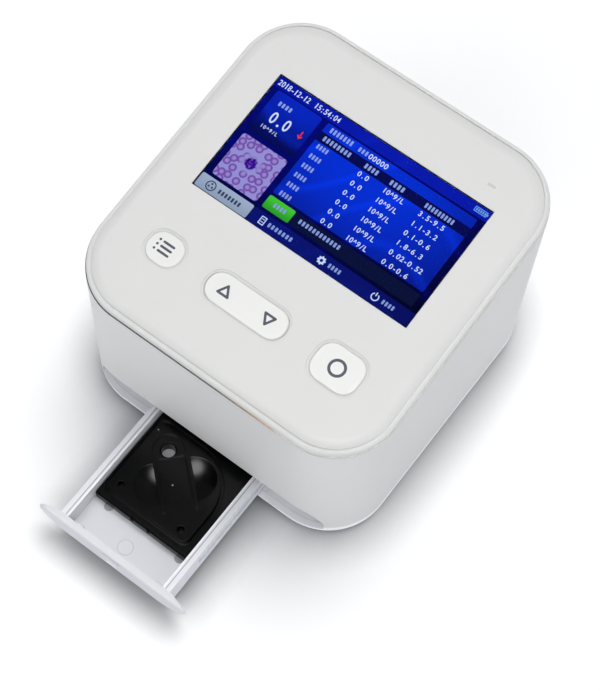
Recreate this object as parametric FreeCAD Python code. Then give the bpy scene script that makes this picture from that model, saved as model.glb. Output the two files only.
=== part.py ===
import FreeCAD, Part
import math
import os
from FreeCAD import Placement, Rotation, Vector

# White blood cell analyzer: a square bench instrument with a sloped face that carries
# a colour display and three keys, and a sample drawer that is pulled out at the front.
# Everything is drawn about the middle of the housing's base: +X to the right of a
# person in front of it, +Y to the back, +Z up. The drawer is drawn pulled out. At the
# end all pieces move along Y, so that the origin lies under the middle of the whole.

# Housing
body_width = 132.6
body_depth = 136.8
corner_radius = 25.5
face_height = 92.0
face_tilt = 7.9
wall = 2.6
foot_lift = 1.5
bottom_round = 2.3
base_thickness = 2.2

# Rim between the walls and the face, measured in from the wall or down from the face
lip_width = 2.2
lip_inset = 0.4
lip_drop = 1.7
lip_round = 1.2
groove_width = 0.12
shoulder_round = 6.0
shoulder_drop = 1.5
trim_depth = 3.7
trim_height = 0.5
trim_inset = 0.05
tongue_inset = 1.3
rebate_height = 1.6
shelf_width = 6.5
cover_thickness = 3.0
cover_rim_width = 6.0

# Clearances, and the overlap of pieces that are joined
seam_gap = 0.1
press_gap = 0.05
running_gap = 0.05
slide_gap = 0.25
key_gap = 0.2
root = 0.2

# Display
screen_width = 95.2
screen_height = 53.5
screen_x = 0.3
screen_s = 14.2
screen_border = 0.3
window_thickness = 0.7
window_ledge = 0.3
lcd_width = 105.5
lcd_height = 67.2
lcd_thickness = 2.9
lcd_frame_lip = 1.0
lcd_frame_thickness = 0.4
bracket_thickness = 1.0
bracket_margin = (6.0, 8.0)
bracket_corner = 4.0
bracket_ear = 3.0
bracket_ear_size = (9.0, 7.0, 2.4)
bracket_rib = (76.0, 1.6, 1.6)
bracket_window = (40.0, 16.0)
bracket_boss_half = 1.9

# Keys, placed by their distance up the slope from the middle of the face
key_row = -39.0
key_rise = 0.2
key_bevel = 0.5
key_dish_margin = 1.0
key_dish_depth = 0.25
key_flange = 1.2
key_flange_thickness = 1.2
key_stem = (4.0, 4.0)
key_travel = 0.4
key_corner = 6.0
menu_x = -39.5
menu_size = (15.0, 12.8)
ok_x = 37.6
ok_size = (19.8, 15.8)
nav_x = -2.6
nav_size = (34.8, 12.6)
nav_wall = 1.6
nav_crown = 1.8
nav_skirt = 0.9
nav_web = 1.6
nav_pin_radius = 0.8
nav_pin_depth = 4.4
nav_nub = (3.0, 3.0)
nav_switch_reach = 9.4
nav_ear_gap = 0.5
nav_ear_width = 4.0
nav_ear_thickness = 1.8
board_thickness = 1.6
key_board_depth = 8.4
key_board_size = (98.0, 17.0)
key_board_corner = 1.5
key_socket_x = 18.0
key_socket_size = (12.0, 6.0, 4.0)
board_boss_half = 2.3
board_boss_spread = 5.5
switch_side = 6.0
switch_height = 3.0
switch_button = 3.0
switch_button_height = 0.8
status_x = 41.6
status_gap = 1.3
status_size = (3.2, 0.9)
status_foot = (1.2, 0.8)

# Finger scoop in the front wall, and the bay behind it
scoop_half_width = 54.5
scoop_corner = 13.0
scoop_overlap = 0.6
sill_height = 5.0
scoop_top = 20.3
scoop_depth = 15.8
bay_wall = 1.3
bay_side = 2.0
bay_clearance = 1.4
bay_rear_space = 29.9
flute_width = 0.4
flute_depth = 0.3
ceiling_hole_radius = 8.0
lamp_hole_radius = 5.6

# Drawer
drawer_travel = 57.0
tray_half_width = 26.1
tray_wall = 3.4
tray_floor = 1.4
tray_bottom = 5.4
tray_top = 17.0
tray_end_gap = 4.6
tray_rear_wall = 2.0
tray_line_inset = 1.1
tray_line_width = 0.4
tray_line_depth = 0.25
tray_hole_margin = 0.6
plug_places = (-15.9, 18.5)
plug_radius = 1.9
plug_setback = 0.2
plug_depth = 0.8
dimple_place = (-0.5, 8.8)
dimple_radius = 2.9
dimple_depth = 0.2
rail_low = 10.0
rail_high = 12.2
rail_bite = 1.4
rail_bevel = 0.4
rail_end = 2.0

# Front plate of the drawer
plate_thickness = 3.0
plate_half_width = 35.0
plate_flat_half = 19.0
plate_widest = 0.68
plate_sag = (5.2, 0.21)
plate_shoulder = 3.2
plate_shoulder_sag = (0.9, 1.0)
plate_round = 0.8
plate_wing_gap = 1.1
plate_wing_edge = 0.9
plate_slot = (9.0, 1.2, 0.8)
plate_slot_drop = 2.6
hook_inset = 3.0
hook_size = (4.0, 2.4, 3.0)

# Sample holder on the drawer
holder_gap = 0.3
holder_setback = 18.0
holder_length = 60.0
holder_height = 4.9
holder_bevel = 0.7
platform_rise = 1.7
platform_margins = (2.2, 4.2)
platform_ends = (3.8, 38.6)
platform_corner = 3.0
platform_wide_corner = 20.0
moat_width = 1.5
moat_depth = 1.2
nest_half = (9.5, 5.3)
nest_corner = 0.8
nest_turn = -42.0
nest_centre = (-1.0, 21.9)
nest_depth = 1.2
nest_rail_offset = 1.25
nest_rail_width = 1.4
nest_rail_height = 0.5
nest_rail_ends = (-8.0, 12.8)
bowl_radius = 9.0
bowl_depth = 1.9
bowl_shift = 1.0
light_setback = 48.1
well_radius = 6.2
well_depth = 1.0
light_radius = 2.75
light_cone = 0.6
screw_places = ((-16.0, 7.9), (13.3, 7.6))
screw_sink = (1.45, 2.6)
tab_slots = (-5.4, 2.6)
tab_slot_size = (1.4, 1.2)
tab_slot_lift = 2.0

# Tab at the drawer's rear, and the light gate that it enters when the drawer is shut
flag_x = 13.0
flag_width = 6.0
flag_height = 6.0
flag_thickness = 1.2
flag_blade = 0.8
flag_blade_lift = 2.0
gate_width = 8.0
gate_depth = 5.0
gate_height = 7.0
gate_lift = 1.4
gate_slot = (2.8, 4.0, 5.8)
gate_board_margin = 3.0
gate_board_thickness = 1.2
gate_board_rise = 2.0

# Optics over the drawer
optical_x = -10.8
lamp_disc = (5.3, 0.8)
lamp_side = 2.4
lamp_height = 0.5
objective_tip = 18.4
objective_radius = 6.5
objective_nose = (2.6, 6.0)
objective_collar = (2.0, 3.0)
objective_stub = 8.0
carriage_low = 34.0
carriage_height = 12.0
carriage_half_width = 15.5
carriage_half_depth = 5.0
carriage_arm_half = 6.0
carriage_ring = 4.0
carriage_arm_step = 2.0
camera_side = 15.0
camera_height = 7.0
camera_corner = 1.5
camera_board_side = 22.0
camera_socket = (12.0, 4.0, 2.4)
rod_radius = 2.0
rod_spread = 11.5
rod_setback = 19.3
rod_end_gap = 0.2
tower_top = 62.0
tower_front = 6.0
tower_back = 9.0
tower_side = 2.0
tower_plate = 3.0
tower_window = (10.5, 11.0, 3.0)
lead_radius = 1.5
lead_end_gap = 0.4
lead_in_motor = 5.6
motor_radius = 8.0
motor_height = 11.0
motor_flange = (13.5, 4.0, 1.0)
motor_terminal = (8.0, 5.0, 5.0)
motor_terminal_y = 6.0
motor_terminal_lift = 2.0

# Rear wall, with the port panel and vents
port_low = 11.0
port_high = 28.0
port_left = -20.0
port_right = 37.0
port_overlap = 3.0
port_panel_thickness = 1.8
port_stand_out = 1.0
rocker_x = -9.0
rocker_z = 19.5
rocker_radius = 4.4
rocker_half_width = 3.9
rocker_tilt = 8.0
rocker_gap = 0.3
rocker_flat = 0.6
rocker_pin_radius = 0.8
rocker_pin_depth = 1.6
rocker_pin_half = 4.5
switch_case_half = (4.9, 5.5)
switch_case_depth = 12.0
switch_collar_half = (6.4, 7.0)
switch_collar_corner = 1.2
switch_collar_height = 1.2
switch_tab = (4.8, 5.0, 0.8)
switch_tab_offset = 3.0
usb_x = 27.0
usb_size = (13.2, 14.0, 6.2)
usb_sheet = 0.4
usb_margin = 0.6
usb_tongue = (11.2, 1.9)
usb_tongue_lift = 3.1
usb_tongue_setback = 1.8
dc_x = 10.0
dc_rise = 6.2
dc_case = (9.0, 14.0, 10.8)
dc_collar_radius = 4.4
dc_bore_radius = 3.1
dc_bore_depth = 10.0
dc_pin_radius = 1.0
rear_slot_count = 9
rear_slot_pitch = 6.0
rear_slot_width = 2.0
rear_slot_height = 16.0
rear_slot_low = 60.7

# Row of notches in the right wall's lower edge, and vents in the base
notch_count = 19
notch_pitch = 3.2
notch_width = 1.3
notch_depth = 1.2
notch_middle = 13.0
base_slot_rows = 3
base_slot_columns = 3
base_slot_pitch = 6.0
base_slot_size = (4.0, 1.6)

# Inside the housing
pillar_radius = 4.5
pillar_bite = 1.0
front_pillar_setback = 30.4
screw_sink_radius = 3.1
screw_sink_depth = 1.7
foot_radius = 6.0
foot_recess = 0.8
foot_inset = (19.3, 21.4)
main_board_lift = 7.0
main_board_gap = 1.5
main_board_margins = (3.7, 38.4, 18.4)
main_board_rear = (-16.0, 48.0, 8.0)
main_board_rear_gap = 0.5
processor_reach = 12.0
processor_y = -1.0
processor_side = 14.0
processor_height = 1.6
memory_reach = 10.0
memory_y = 18.0
memory_size = (10.0, 8.0, 1.2)
plug_block_inset = (5.0, 13.0)
plug_block_size = (6.0, 14.0, 6.5)
capacitor_places = (28.0, 35.5)
capacitor_radius = 2.8
capacitor_height = 8.0
post_half = 2.6
post_inset = 3.5
post_ends = (-11.0, -4.0, 10.0)
sink_side = 13.0
sink_height = 6.0
sink_foot = 1.4
sink_slots = 5
sink_slot_width = 1.2
cell_radius = 9.3
cell_length = 67.0
battery_y = 2.0
strap_thickness = 1.2
strap_width = 16.0
strap_foot = 3.0
cradle_width = 6.0
speaker_radius = 10.0
speaker_rim = 1.6
speaker_can = 6.2
speaker_height = 4.5
speaker_x = -30.0
speaker_gap = 3.5

# Sizes that follow from those above
far = 400.0
up = Vector(0, 0, 1)
face_frame = Placement(Vector(0, 0, face_height), Rotation(Vector(1, 0, 0), face_tilt))
face_normal = face_frame.Rotation.multVec(up)
half_width = body_width / 2
half_depth = body_depth / 2
cover_inset = lip_width + groove_width
shoulder_width = math.sqrt(2 * shoulder_round * shoulder_drop - shoulder_drop ** 2)
shell_top_depth = trim_depth + trim_height
rebate_depth = shell_top_depth + rebate_height
cover_edge_depth = shoulder_drop + cover_thickness
base_top = foot_lift + base_thickness
bay_ceiling = scoop_top + slide_gap
bay_top = bay_ceiling + bay_wall
bay_half_width = tray_half_width + bay_clearance
bay_rear = half_depth - bay_rear_space
scoop_back = -half_depth + wall + scoop_depth
rail_start = scoop_back + 2.0
drawer_front_y = -half_depth - drawer_travel
tray_front_y = drawer_front_y + plate_thickness
tray_rear_y = bay_rear - bay_wall - tray_end_gap - drawer_travel
tray_deck = tray_bottom + tray_floor
tray_inner_half = tray_half_width - tray_wall
holder_front_y = drawer_front_y + holder_setback
holder_half = tray_inner_half - holder_gap
holder_deck = tray_deck + holder_height
holder_top = holder_deck + platform_rise
light_y = drawer_front_y + light_setback
optical_y = light_y + drawer_travel
rod_y = optical_y + rod_setback
lcd_depth = window_thickness + window_ledge
lcd_back_depth = lcd_depth + lcd_thickness
status_place = (status_x, screen_s + lcd_height / 2 + status_gap)
bracket_low_depth = lcd_back_depth + bracket_thickness
key_flange_depth = cover_thickness + seam_gap
switch_depth = key_board_depth - switch_height + key_travel + seam_gap
key_stem_depth = switch_depth - key_travel - seam_gap
nav_ear_offset = nav_size[1] / 2 + key_flange + nav_ear_gap + nav_ear_thickness / 2
nav_pin_half = nav_ear_offset + nav_ear_thickness / 2 - 0.3
gate_low = tray_deck + gate_lift
arm_top = carriage_low + carriage_height - carriage_arm_step
camera_low = arm_top + objective_stub
tower_middle = (bay_top + tower_top) / 2
wall_inner_y = half_depth - wall
panel_inner_y = wall_inner_y - port_panel_thickness
socket_front_y = wall_inner_y + port_stand_out
main_board_z = base_top + main_board_lift
main_board_top = main_board_z + board_thickness
main_board_inner = bay_half_width + bay_side + main_board_gap
main_board_outer = half_width - wall - main_board_margins[0]
main_board_front = main_board_margins[1] - half_depth
main_board_back = half_depth - main_board_margins[2]
processor_place = (main_board_inner + processor_reach, processor_y)
processor_top = main_board_top + processor_height
battery_x = -(bay_half_width + bay_side + half_width - wall) / 2
speaker_place = (speaker_x, bay_rear + speaker_radius + speaker_gap)
dc_z = main_board_top + dc_rise


def box(x0, x1, y0, y1, z0, z1):
    """Block between two corners, given in either order."""
    low = Vector(min(x0, x1), min(y0, y1), min(z0, z1))
    return Part.makeBox(abs(x1 - x0), abs(y1 - y0), abs(z1 - z0), low)


def block_on(place, size, low):
    """Block of a given width, depth and height, centred on a place."""
    x, y = place
    half_x = size[0] / 2
    half_y = size[1] / 2
    return box(x - half_x, x + half_x, y - half_y, y + half_y, low, low + size[2])


def rod(radius, start, end):
    """Round bar between two points."""
    line = Vector(*end).sub(Vector(*start))
    return Part.makeCylinder(radius, line.Length, Vector(*start), line)


def post(radius, place, low, high):
    """Upright round bar."""
    return rod(radius, (place[0], place[1], low), (place[0], place[1], high))


def row(count, pitch):
    """Evenly spaced places about zero."""
    return [(index - (count - 1) / 2) * pitch for index in range(count)]


def rounded_block(half_x, half_y, radius, low, high, centre=(0.0, 0.0)):
    """Block with four rounded upright corners."""
    r = min(radius, half_x, half_y)
    k = r * (1 - math.sqrt(0.5))
    x = half_x
    y = half_y
    corners = (
        ((x, r - y), (x, y - r), (x - k, y - k), (x - r, y)),
        ((x - r, y), (r - x, y), (k - x, y - k), (-x, y - r)),
        ((-x, y - r), (-x, r - y), (k - x, k - y), (r - x, -y)),
        ((r - x, -y), (x - r, -y), (x - k, k - y), (x, r - y)),
    )
    edges = []
    for corner in corners:
        begin, end, middle, finish = (Vector(a, b, low) for a, b in corner)
        if begin.distanceToPoint(end) > 0.001:
            edges.append(Part.LineSegment(begin, end).toShape())
        edges.append(Part.Arc(end, middle, finish).toShape())
    block = Part.Face(Part.Wire(edges)).extrude(Vector(0, 0, high - low))
    block.translate(Vector(centre[0], centre[1], 0))
    return block


def plan_prism(inset, low, high):
    """The housing's plan, moved in by inset, as an upright prism."""
    radius = max(corner_radius - inset, 1.0)
    return rounded_block(half_width - inset, half_depth - inset, radius, low, high)


def on_face(shape):
    """Place a shape drawn flat at the origin onto the sloped face."""
    placed = shape.copy()
    placed.Placement = face_frame.multiply(placed.Placement)
    return placed


def face_layer(top_depth, bottom_depth):
    """Everything between two planes parallel to the face."""
    return on_face(box(-far, far, -far, far, -bottom_depth, -top_depth))


def sloped_slab(inset, top_depth, bottom_depth):
    """The housing's plan between two planes parallel to the face."""
    prism = plan_prism(inset, 0, face_height + body_depth)
    return prism.common(face_layer(top_depth, bottom_depth))


def rim_edges(shape, direction=up):
    """Edges round the face that lies furthest along a direction."""
    return max(shape.Faces, key=lambda face: face.CenterOfMass.dot(direction)).Edges


def grown(size, margin):
    """A width and height made larger by a margin on every side."""
    return (size[0] + 2 * margin, size[1] + 2 * margin)


def face_plate(size, low_depth, top_depth, centre):
    """Square-cornered block drawn flat on the face, between two depths."""
    return block_on(centre, (size[0], size[1], low_depth - top_depth), -low_depth)


def key_shape(size, low_depth, top_depth, x, margin=0.0):
    """Block with the keys' rounded outline, between two depths under the face."""
    half_x = size[0] / 2 + margin
    half_s = size[1] / 2 + margin
    return rounded_block(half_x, half_s, key_corner + margin, -low_depth, -top_depth, (x, key_row))


def mirrored(shape):
    """The same shape on the other side of the middle plane."""
    return shape.mirror(Vector(0, 0, 0), Vector(1, 0, 0))


def both_sides(shape):
    """A shape and its mirror image."""
    return [shape, mirrored(shape)]


def pillar_places():
    """Middles of the four screw pillars that stand against the wall."""
    reach = corner_radius - wall - pillar_radius + pillar_bite
    side_x = half_width - wall - pillar_radius + pillar_bite
    corner_x = half_width - corner_radius + reach * math.sqrt(0.5)
    corner_y = half_depth - corner_radius + reach * math.sqrt(0.5)
    places = []
    for side in (-1, 1):
        places.append((side * side_x, front_pillar_setback - half_depth))
        places.append((side * corner_x, corner_y))
    return places


def foot_centres():
    """Middles of the four feet."""
    x = half_width - foot_inset[0]
    y = half_depth - foot_inset[1]
    return [(a * x, b * y) for a in (-1, 1) for b in (-1, 1)]


def scoop_mouth():
    """Prism of the finger scoop's outline, through the front wall."""
    x = scoop_half_width
    top = scoop_top
    r = scoop_corner
    k = r * (1 - math.sqrt(0.5))
    y = -half_depth - 1
    outline = ((-x, sill_height), (-x, top - r), (r - x, top), (x - r, top), (x, top - r), (x, sill_height))
    points = [Vector(a, y, b) for a, b in outline]
    edges = [
        Part.LineSegment(points[0], points[1]).toShape(),
        Part.Arc(points[1], Vector(k - x, y, top - k), points[2]).toShape(),
        Part.LineSegment(points[2], points[3]).toShape(),
        Part.Arc(points[3], Vector(x - k, y, top - k), points[4]).toShape(),
        Part.LineSegment(points[4], points[5]).toShape(),
        Part.LineSegment(points[5], points[0]).toShape(),
    ]
    return Part.Face(Part.Wire(edges)).extrude(Vector(0, scoop_depth, 0))


def rear_opening(middle_x, width, low, high):
    """Block that cuts an opening through the rear wall."""
    half = width / 2
    return box(middle_x - half, middle_x + half, panel_inner_y, half_depth + 1, low, high)


def outer_shell():
    """Four upright walls with the scoop, rear vents and port opening, notches and screw pillars."""
    block = plan_prism(0, foot_lift, face_height + body_depth)
    block = block.makeFillet(bottom_round, rim_edges(block, -up))
    block = block.cut(face_layer(-far, shell_top_depth))
    block = block.cut(sloped_slab(tongue_inset, -far, rebate_depth))
    hollow = plan_prism(wall, 0, face_height + body_depth)
    pillars = [post(pillar_radius, place, base_top, face_height + body_depth) for place in pillar_places()]
    standing = Part.makeCompound(pillars).cut(face_layer(-far, rebate_depth))
    shell = block.cut(hollow.cut(standing))
    port_middle = (port_left + port_right) / 2
    cuts = [scoop_mouth(), rear_opening(port_middle, port_right - port_left, port_low, port_high)]
    for x in row(rear_slot_count, rear_slot_pitch):
        cuts.append(rear_opening(x, rear_slot_width, rear_slot_low, rear_slot_low + rear_slot_height))
    for y in row(notch_count, notch_pitch):
        place = (half_width, notch_middle + y)
        cuts.append(block_on(place, (2 * notch_depth, notch_width, foot_lift + bottom_round), 0))
    return shell.cut(Part.makeCompound(cuts))


def trim_ring():
    """Thin strip that shows as a line under the lip."""
    ring = sloped_slab(trim_inset, trim_depth, shell_top_depth)
    return ring.cut(sloped_slab(tongue_inset, 0, rebate_depth))


def bezel_ring():
    """Rim with a rounded lip outside, a tongue into the walls and a shelf for the cover."""
    ring = sloped_slab(lip_inset, lip_drop, rebate_depth)
    ring = ring.makeFillet(lip_round, rim_edges(ring, face_normal))
    ring = ring.cut(sloped_slab(lip_width, 0, cover_edge_depth))
    ring = ring.cut(sloped_slab(shelf_width, 0, rebate_depth + 1))
    skirt = sloped_slab(-1, trim_depth, rebate_depth + 1)
    return ring.cut(skirt.cut(sloped_slab(tongue_inset + seam_gap, 0, rebate_depth + 2)))


def key_openings():
    """Openings for the three keys with a shallow dish round each, and for the status light."""
    through = cover_thickness + 1
    cuts = [face_plate(grown(status_size, press_gap), through, -1, status_place)]
    for x, size in ((menu_x, menu_size), (nav_x, nav_size), (ok_x, ok_size)):
        cuts.append(key_shape(size, through, -1, x, key_gap))
        cuts.append(key_shape(size, key_dish_depth, -1, x, key_dish_margin))
    return cuts


def board_boss_places():
    """Screw places of the key board, between the keys."""
    left = (menu_x + menu_size[0] / 2 + nav_x - nav_size[0] / 2) / 2
    right = (nav_x + nav_size[0] / 2 + ok_x - ok_size[0] / 2) / 2
    return [(x, key_row + side * board_boss_spread) for x in (left, right) for side in (-1, 1)]


def bracket_boss_places():
    """Screw places of the display bracket, above and below the display."""
    x = lcd_width / 4
    s = lcd_height / 2 + bracket_ear
    return [(screen_x + a * x, screen_s + b * s) for a in (-1, 1) for b in (-1, 1)]


def bosses(places, half, end_depth):
    """Square screw bosses that hang from the inside of the cover."""
    size = (2 * half, 2 * half)
    return [face_plate(size, end_depth, cover_thickness - root, place) for place in places]


def nav_ears():
    """Two bearings that hold the rocking key's pins under the cover."""
    ears = []
    for side in (-1, 1):
        s = key_row + side * nav_ear_offset
        size = (nav_ear_width, nav_ear_thickness)
        ear = face_plate(size, nav_pin_depth + nav_ear_thickness, cover_thickness - root, (nav_x, s))
        start = (nav_x, s - nav_ear_thickness, -nav_pin_depth)
        end = (nav_x, s + nav_ear_thickness, -nav_pin_depth)
        ears.append(ear.cut(rod(nav_pin_radius + running_gap, start, end)))
    return ears


def top_cover():
    """Sloped face panel with soft shoulders, a window ledge and bosses inside."""
    overhang = shoulder_round - shoulder_width
    blank = sloped_slab(cover_inset - overhang, 0, shoulder_round * 2)
    blank = blank.makeFillet(shoulder_round, rim_edges(blank, face_normal))
    panel = blank.common(sloped_slab(cover_inset, 0, cover_edge_depth))
    panel = panel.cut(sloped_slab(cover_inset + cover_rim_width, cover_thickness, cover_edge_depth + 1))
    screen = (screen_width, screen_height)
    centre = (screen_x, screen_s)
    cuts = [
        face_plate(grown(screen, screen_border + seam_gap), window_thickness, -1, centre),
        face_plate(grown(screen, seam_gap), cover_thickness + 1, -1, centre),
        face_plate(grown((lcd_width, lcd_height), seam_gap), cover_thickness + 1, lcd_depth, centre),
    ]
    cuts += key_openings()
    panel = panel.cut([on_face(cut) for cut in cuts])
    inner = bosses(board_boss_places(), board_boss_half, key_board_depth)
    inner += bosses(bracket_boss_places(), bracket_boss_half, lcd_back_depth)
    return panel.fuse([on_face(part) for part in inner + nav_ears()])


def display_window():
    """Clear window that lies flush in the face."""
    size = grown((screen_width, screen_height), screen_border)
    return on_face(face_plate(size, window_thickness, 0, (screen_x, screen_s)))


def lcd_panel():
    """Liquid crystal glass with its backlight, behind the window's ledge."""
    size = grown((lcd_width, lcd_height), -lcd_frame_lip)
    low = lcd_back_depth - lcd_frame_thickness
    return on_face(face_plate(size, low, lcd_depth, (screen_x, screen_s)))


def lcd_frame():
    """Bent metal tray round the display panel."""
    centre = (screen_x, screen_s)
    tray = face_plate((lcd_width, lcd_height), lcd_back_depth, lcd_depth, centre)
    inner = grown((lcd_width, lcd_height), -lcd_frame_lip)
    low = lcd_back_depth - lcd_frame_thickness
    return on_face(tray.cut(face_plate(inner, low, lcd_depth - 1, centre)))


def display_bracket():
    """Pressed plate that clamps the display to the cover, with four ears and two ribs."""
    low = bracket_low_depth
    half_x = (lcd_width - bracket_margin[0]) / 2
    half_s = (lcd_height - bracket_margin[1]) / 2
    centre = (screen_x, screen_s)
    plate = rounded_block(half_x, half_s, bracket_corner, -low, -lcd_back_depth, centre)
    ear_length, ear_width, ear_end = bracket_ear_size
    for x, s in bracket_boss_places():
        side = math.copysign(1, s - screen_s)
        ear = (x - ear_width / 2, x + ear_width / 2, s - side * ear_length, s + side * ear_end)
        plate = plate.fuse(box(*ear, -low, -lcd_back_depth))
    for side in (-1, 1):
        place = (screen_x, screen_s + side * lcd_height / 5)
        plate = plate.fuse(block_on(place, bracket_rib, -low - bracket_rib[2]))
    return on_face(plate.cut(face_plate(bracket_window, low + bracket_rib[2], 0, centre)))


def key_cap(size, x):
    """Key cap that stands just proud of the face, with a flange behind it and a stem."""
    cap = key_shape(size, key_flange_depth, -key_rise, x)
    cap = cap.makeChamfer(key_bevel, rim_edges(cap))
    flange_low = key_flange_depth + key_flange_thickness
    flange = key_shape(size, flange_low, key_flange_depth, x, key_flange)
    stem = face_plate(key_stem, key_stem_depth, flange_low, (x, key_row))
    return on_face(cap.fuse([flange, stem]))


def menu_key():
    """Key at the left of the row."""
    return key_cap(menu_size, menu_x)


def ok_key():
    """Key at the right of the row."""
    return key_cap(ok_size, ok_x)


def nav_key():
    """Long hollow key that rocks on two pins, with a nub over a switch at each end."""
    skirt_depth = nav_pin_depth + nav_skirt
    cap = key_shape(nav_size, skirt_depth, -key_rise, nav_x)
    cap = cap.makeChamfer(key_bevel, rim_edges(cap))
    cap = cap.cut(key_shape(nav_size, skirt_depth + 1, nav_crown, nav_x, -nav_wall))
    start = (nav_x, key_row - nav_pin_half, -nav_pin_depth)
    end = (nav_x, key_row + nav_pin_half, -nav_pin_depth)
    web_size = (nav_web, nav_size[1] - nav_wall)
    under = nav_crown - root
    parts = [rod(nav_pin_radius, start, end), face_plate(web_size, nav_pin_depth, under, (nav_x, key_row))]
    for side in (-1, 1):
        place = (nav_x + side * nav_switch_reach, key_row)
        parts.append(face_plate(nav_nub, key_stem_depth, under, place))
    return on_face(cap.fuse(parts))


def tact_switches():
    """Four push switches on the key board, one under each key and two under the long one."""
    switches = []
    for x in (menu_x, nav_x - nav_switch_reach, nav_x + nav_switch_reach, ok_x):
        top = switch_depth + switch_button_height
        body = face_plate((switch_side, switch_side), key_board_depth, top, (x, key_row))
        button = face_plate((switch_button, switch_button), top, switch_depth, (x, key_row))
        switches.append(on_face(body.fuse(button)))
    return switches


def key_board():
    """Circuit board behind the keys, with a plug socket."""
    low = key_board_depth + board_thickness
    half_x = key_board_size[0] / 2
    half_s = key_board_size[1] / 2
    centre = (nav_x / 2, key_row)
    board = rounded_block(half_x, half_s, key_board_corner, -low, -key_board_depth, centre)
    place = (key_socket_x, key_row)
    height = key_socket_size[2]
    socket = face_plate(key_socket_size, low + height, low, place)
    socket = socket.cut(face_plate(grown(key_socket_size, -1.0), low + height + 1, low + 1, place))
    return on_face(board.fuse(socket))


def status_light():
    """Short light bar at the upper right of the face."""
    foot_height, foot_margin = status_foot
    bar = face_plate(status_size, cover_thickness, 0, status_place)
    foot_size = grown(status_size, foot_margin)
    foot = face_plate(foot_size, cover_thickness + foot_height, cover_thickness, status_place)
    return on_face(bar.fuse(foot))


def base_plate():
    """Bottom plate with foot recesses, sunk screw holes and the speaker's vents."""
    plate = plan_prism(wall + seam_gap, foot_lift, base_top)
    cuts = []
    for place in foot_centres():
        cuts.append(post(foot_radius + press_gap, place, 0, foot_lift + foot_recess))
    for place in pillar_places():
        cuts.append(post(screw_sink_radius, place, 0, foot_lift + screw_sink_depth))
    for dx in row(base_slot_columns, base_slot_pitch):
        for dy in row(base_slot_rows, base_slot_pitch):
            place = (speaker_place[0] + dx, speaker_place[1] + dy)
            cuts.append(block_on(place, (*base_slot_size, base_top + 1), 0))
    return plate.cut(Part.makeCompound(cuts))


def rubber_feet():
    """Four round feet let into the base plate."""
    return [post(foot_radius, place, 0, foot_lift + foot_recess) for place in foot_centres()]


def drawer_bay():
    """Moulded bay: the scoop's floor, back and ceiling, and the tunnel the drawer runs in."""
    front = -half_depth - 1
    channel_rear = bay_rear - bay_wall
    pocket_half = scoop_half_width + scoop_overlap
    mouth_half = pocket_half + bay_wall
    tunnel_half = bay_half_width + bay_side
    mouth = box(-mouth_half, mouth_half, front, scoop_back + bay_wall, base_top, bay_top)
    tunnel = box(-tunnel_half, tunnel_half, scoop_back, bay_rear, base_top, bay_top)
    bay = mouth.fuse(tunnel).common(plan_prism(wall + seam_gap, 0, face_height))
    gate_half = gate_width / 2
    cuts = [
        box(-pocket_half, pocket_half, front, scoop_back, sill_height, bay_ceiling),
        box(-bay_half_width, bay_half_width, front, channel_rear, sill_height, bay_ceiling),
        post(lamp_hole_radius, (optical_x, optical_y), 0, sill_height + 1),
        post(ceiling_hole_radius, (optical_x, optical_y), bay_ceiling - 1, bay_top + 1),
        box(flag_x - gate_half, flag_x + gate_half, channel_rear - 1, far, gate_low, gate_low + gate_height),
    ]
    flute = box(
        bay_half_width + flute_width, bay_half_width + 2 * flute_width,
        front, scoop_back, sill_height - flute_depth, sill_height + 1,
    )
    return bay.cut(cuts + both_sides(flute))


def slide_rail_right():
    """Rail that stands out from the bay's right wall into the drawer's groove."""
    reach = tray_half_width - rail_bite
    rail = box(reach, bay_half_width, rail_start, bay_rear - bay_wall - rail_end, rail_low, rail_high)
    inner = min(rail.Faces, key=lambda face: face.CenterOfMass.x)
    long_edges = [edge for edge in inner.Edges if edge.Length > tray_wall]
    return rail.makeChamfer(rail_bevel, long_edges)


def slide_rail_left():
    """Rail on the bay's left wall."""
    return mirrored(slide_rail_right())


def drawer_tray():
    """Open tray with a groove along each side, a light hole and a lined top edge."""
    cavity_rear = tray_rear_y - tray_rear_wall
    tray = box(-tray_half_width, tray_half_width, tray_front_y, tray_rear_y, tray_bottom, tray_top)
    cavity = box(-tray_inner_half, tray_inner_half, tray_front_y - 1, cavity_rear, tray_deck, tray_top + 1)
    groove_inner = tray_half_width - rail_bite - slide_gap
    groove_start = rail_start - drawer_travel - slide_gap
    groove = box(
        groove_inner, tray_half_width + 1, groove_start, tray_rear_y + 1,
        rail_low - slide_gap, rail_high + slide_gap,
    )
    line_inner = tray_inner_half + tray_line_inset
    line = box(
        line_inner, line_inner + tray_line_width, tray_front_y - 1, tray_rear_y + 1,
        tray_top - tray_line_depth, tray_top + 1,
    )
    cuts = [cavity, post(light_radius + tray_hole_margin, (optical_x, light_y), 0, tray_deck + 1)]
    cuts += both_sides(groove) + both_sides(line)
    for place in plug_centres():
        cuts.append(post(plug_radius + press_gap, place, tray_deck - plug_depth, tray_deck + 1))
    dimple = (dimple_place[0], drawer_front_y + dimple_place[1])
    cuts.append(post(dimple_radius, dimple, tray_deck - dimple_depth, tray_deck + 1))
    return tray.cut(Part.makeCompound(cuts))


def plug_centres():
    """Middles of the plugs in the tray's floor."""
    return [(x, holder_front_y - plug_setback) for x in plug_places]


def tray_plugs():
    """Two round plugs let into the tray's floor at the holder's front corners."""
    return [post(plug_radius, place, tray_deck - plug_depth, tray_deck) for place in plug_centres()]


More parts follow.
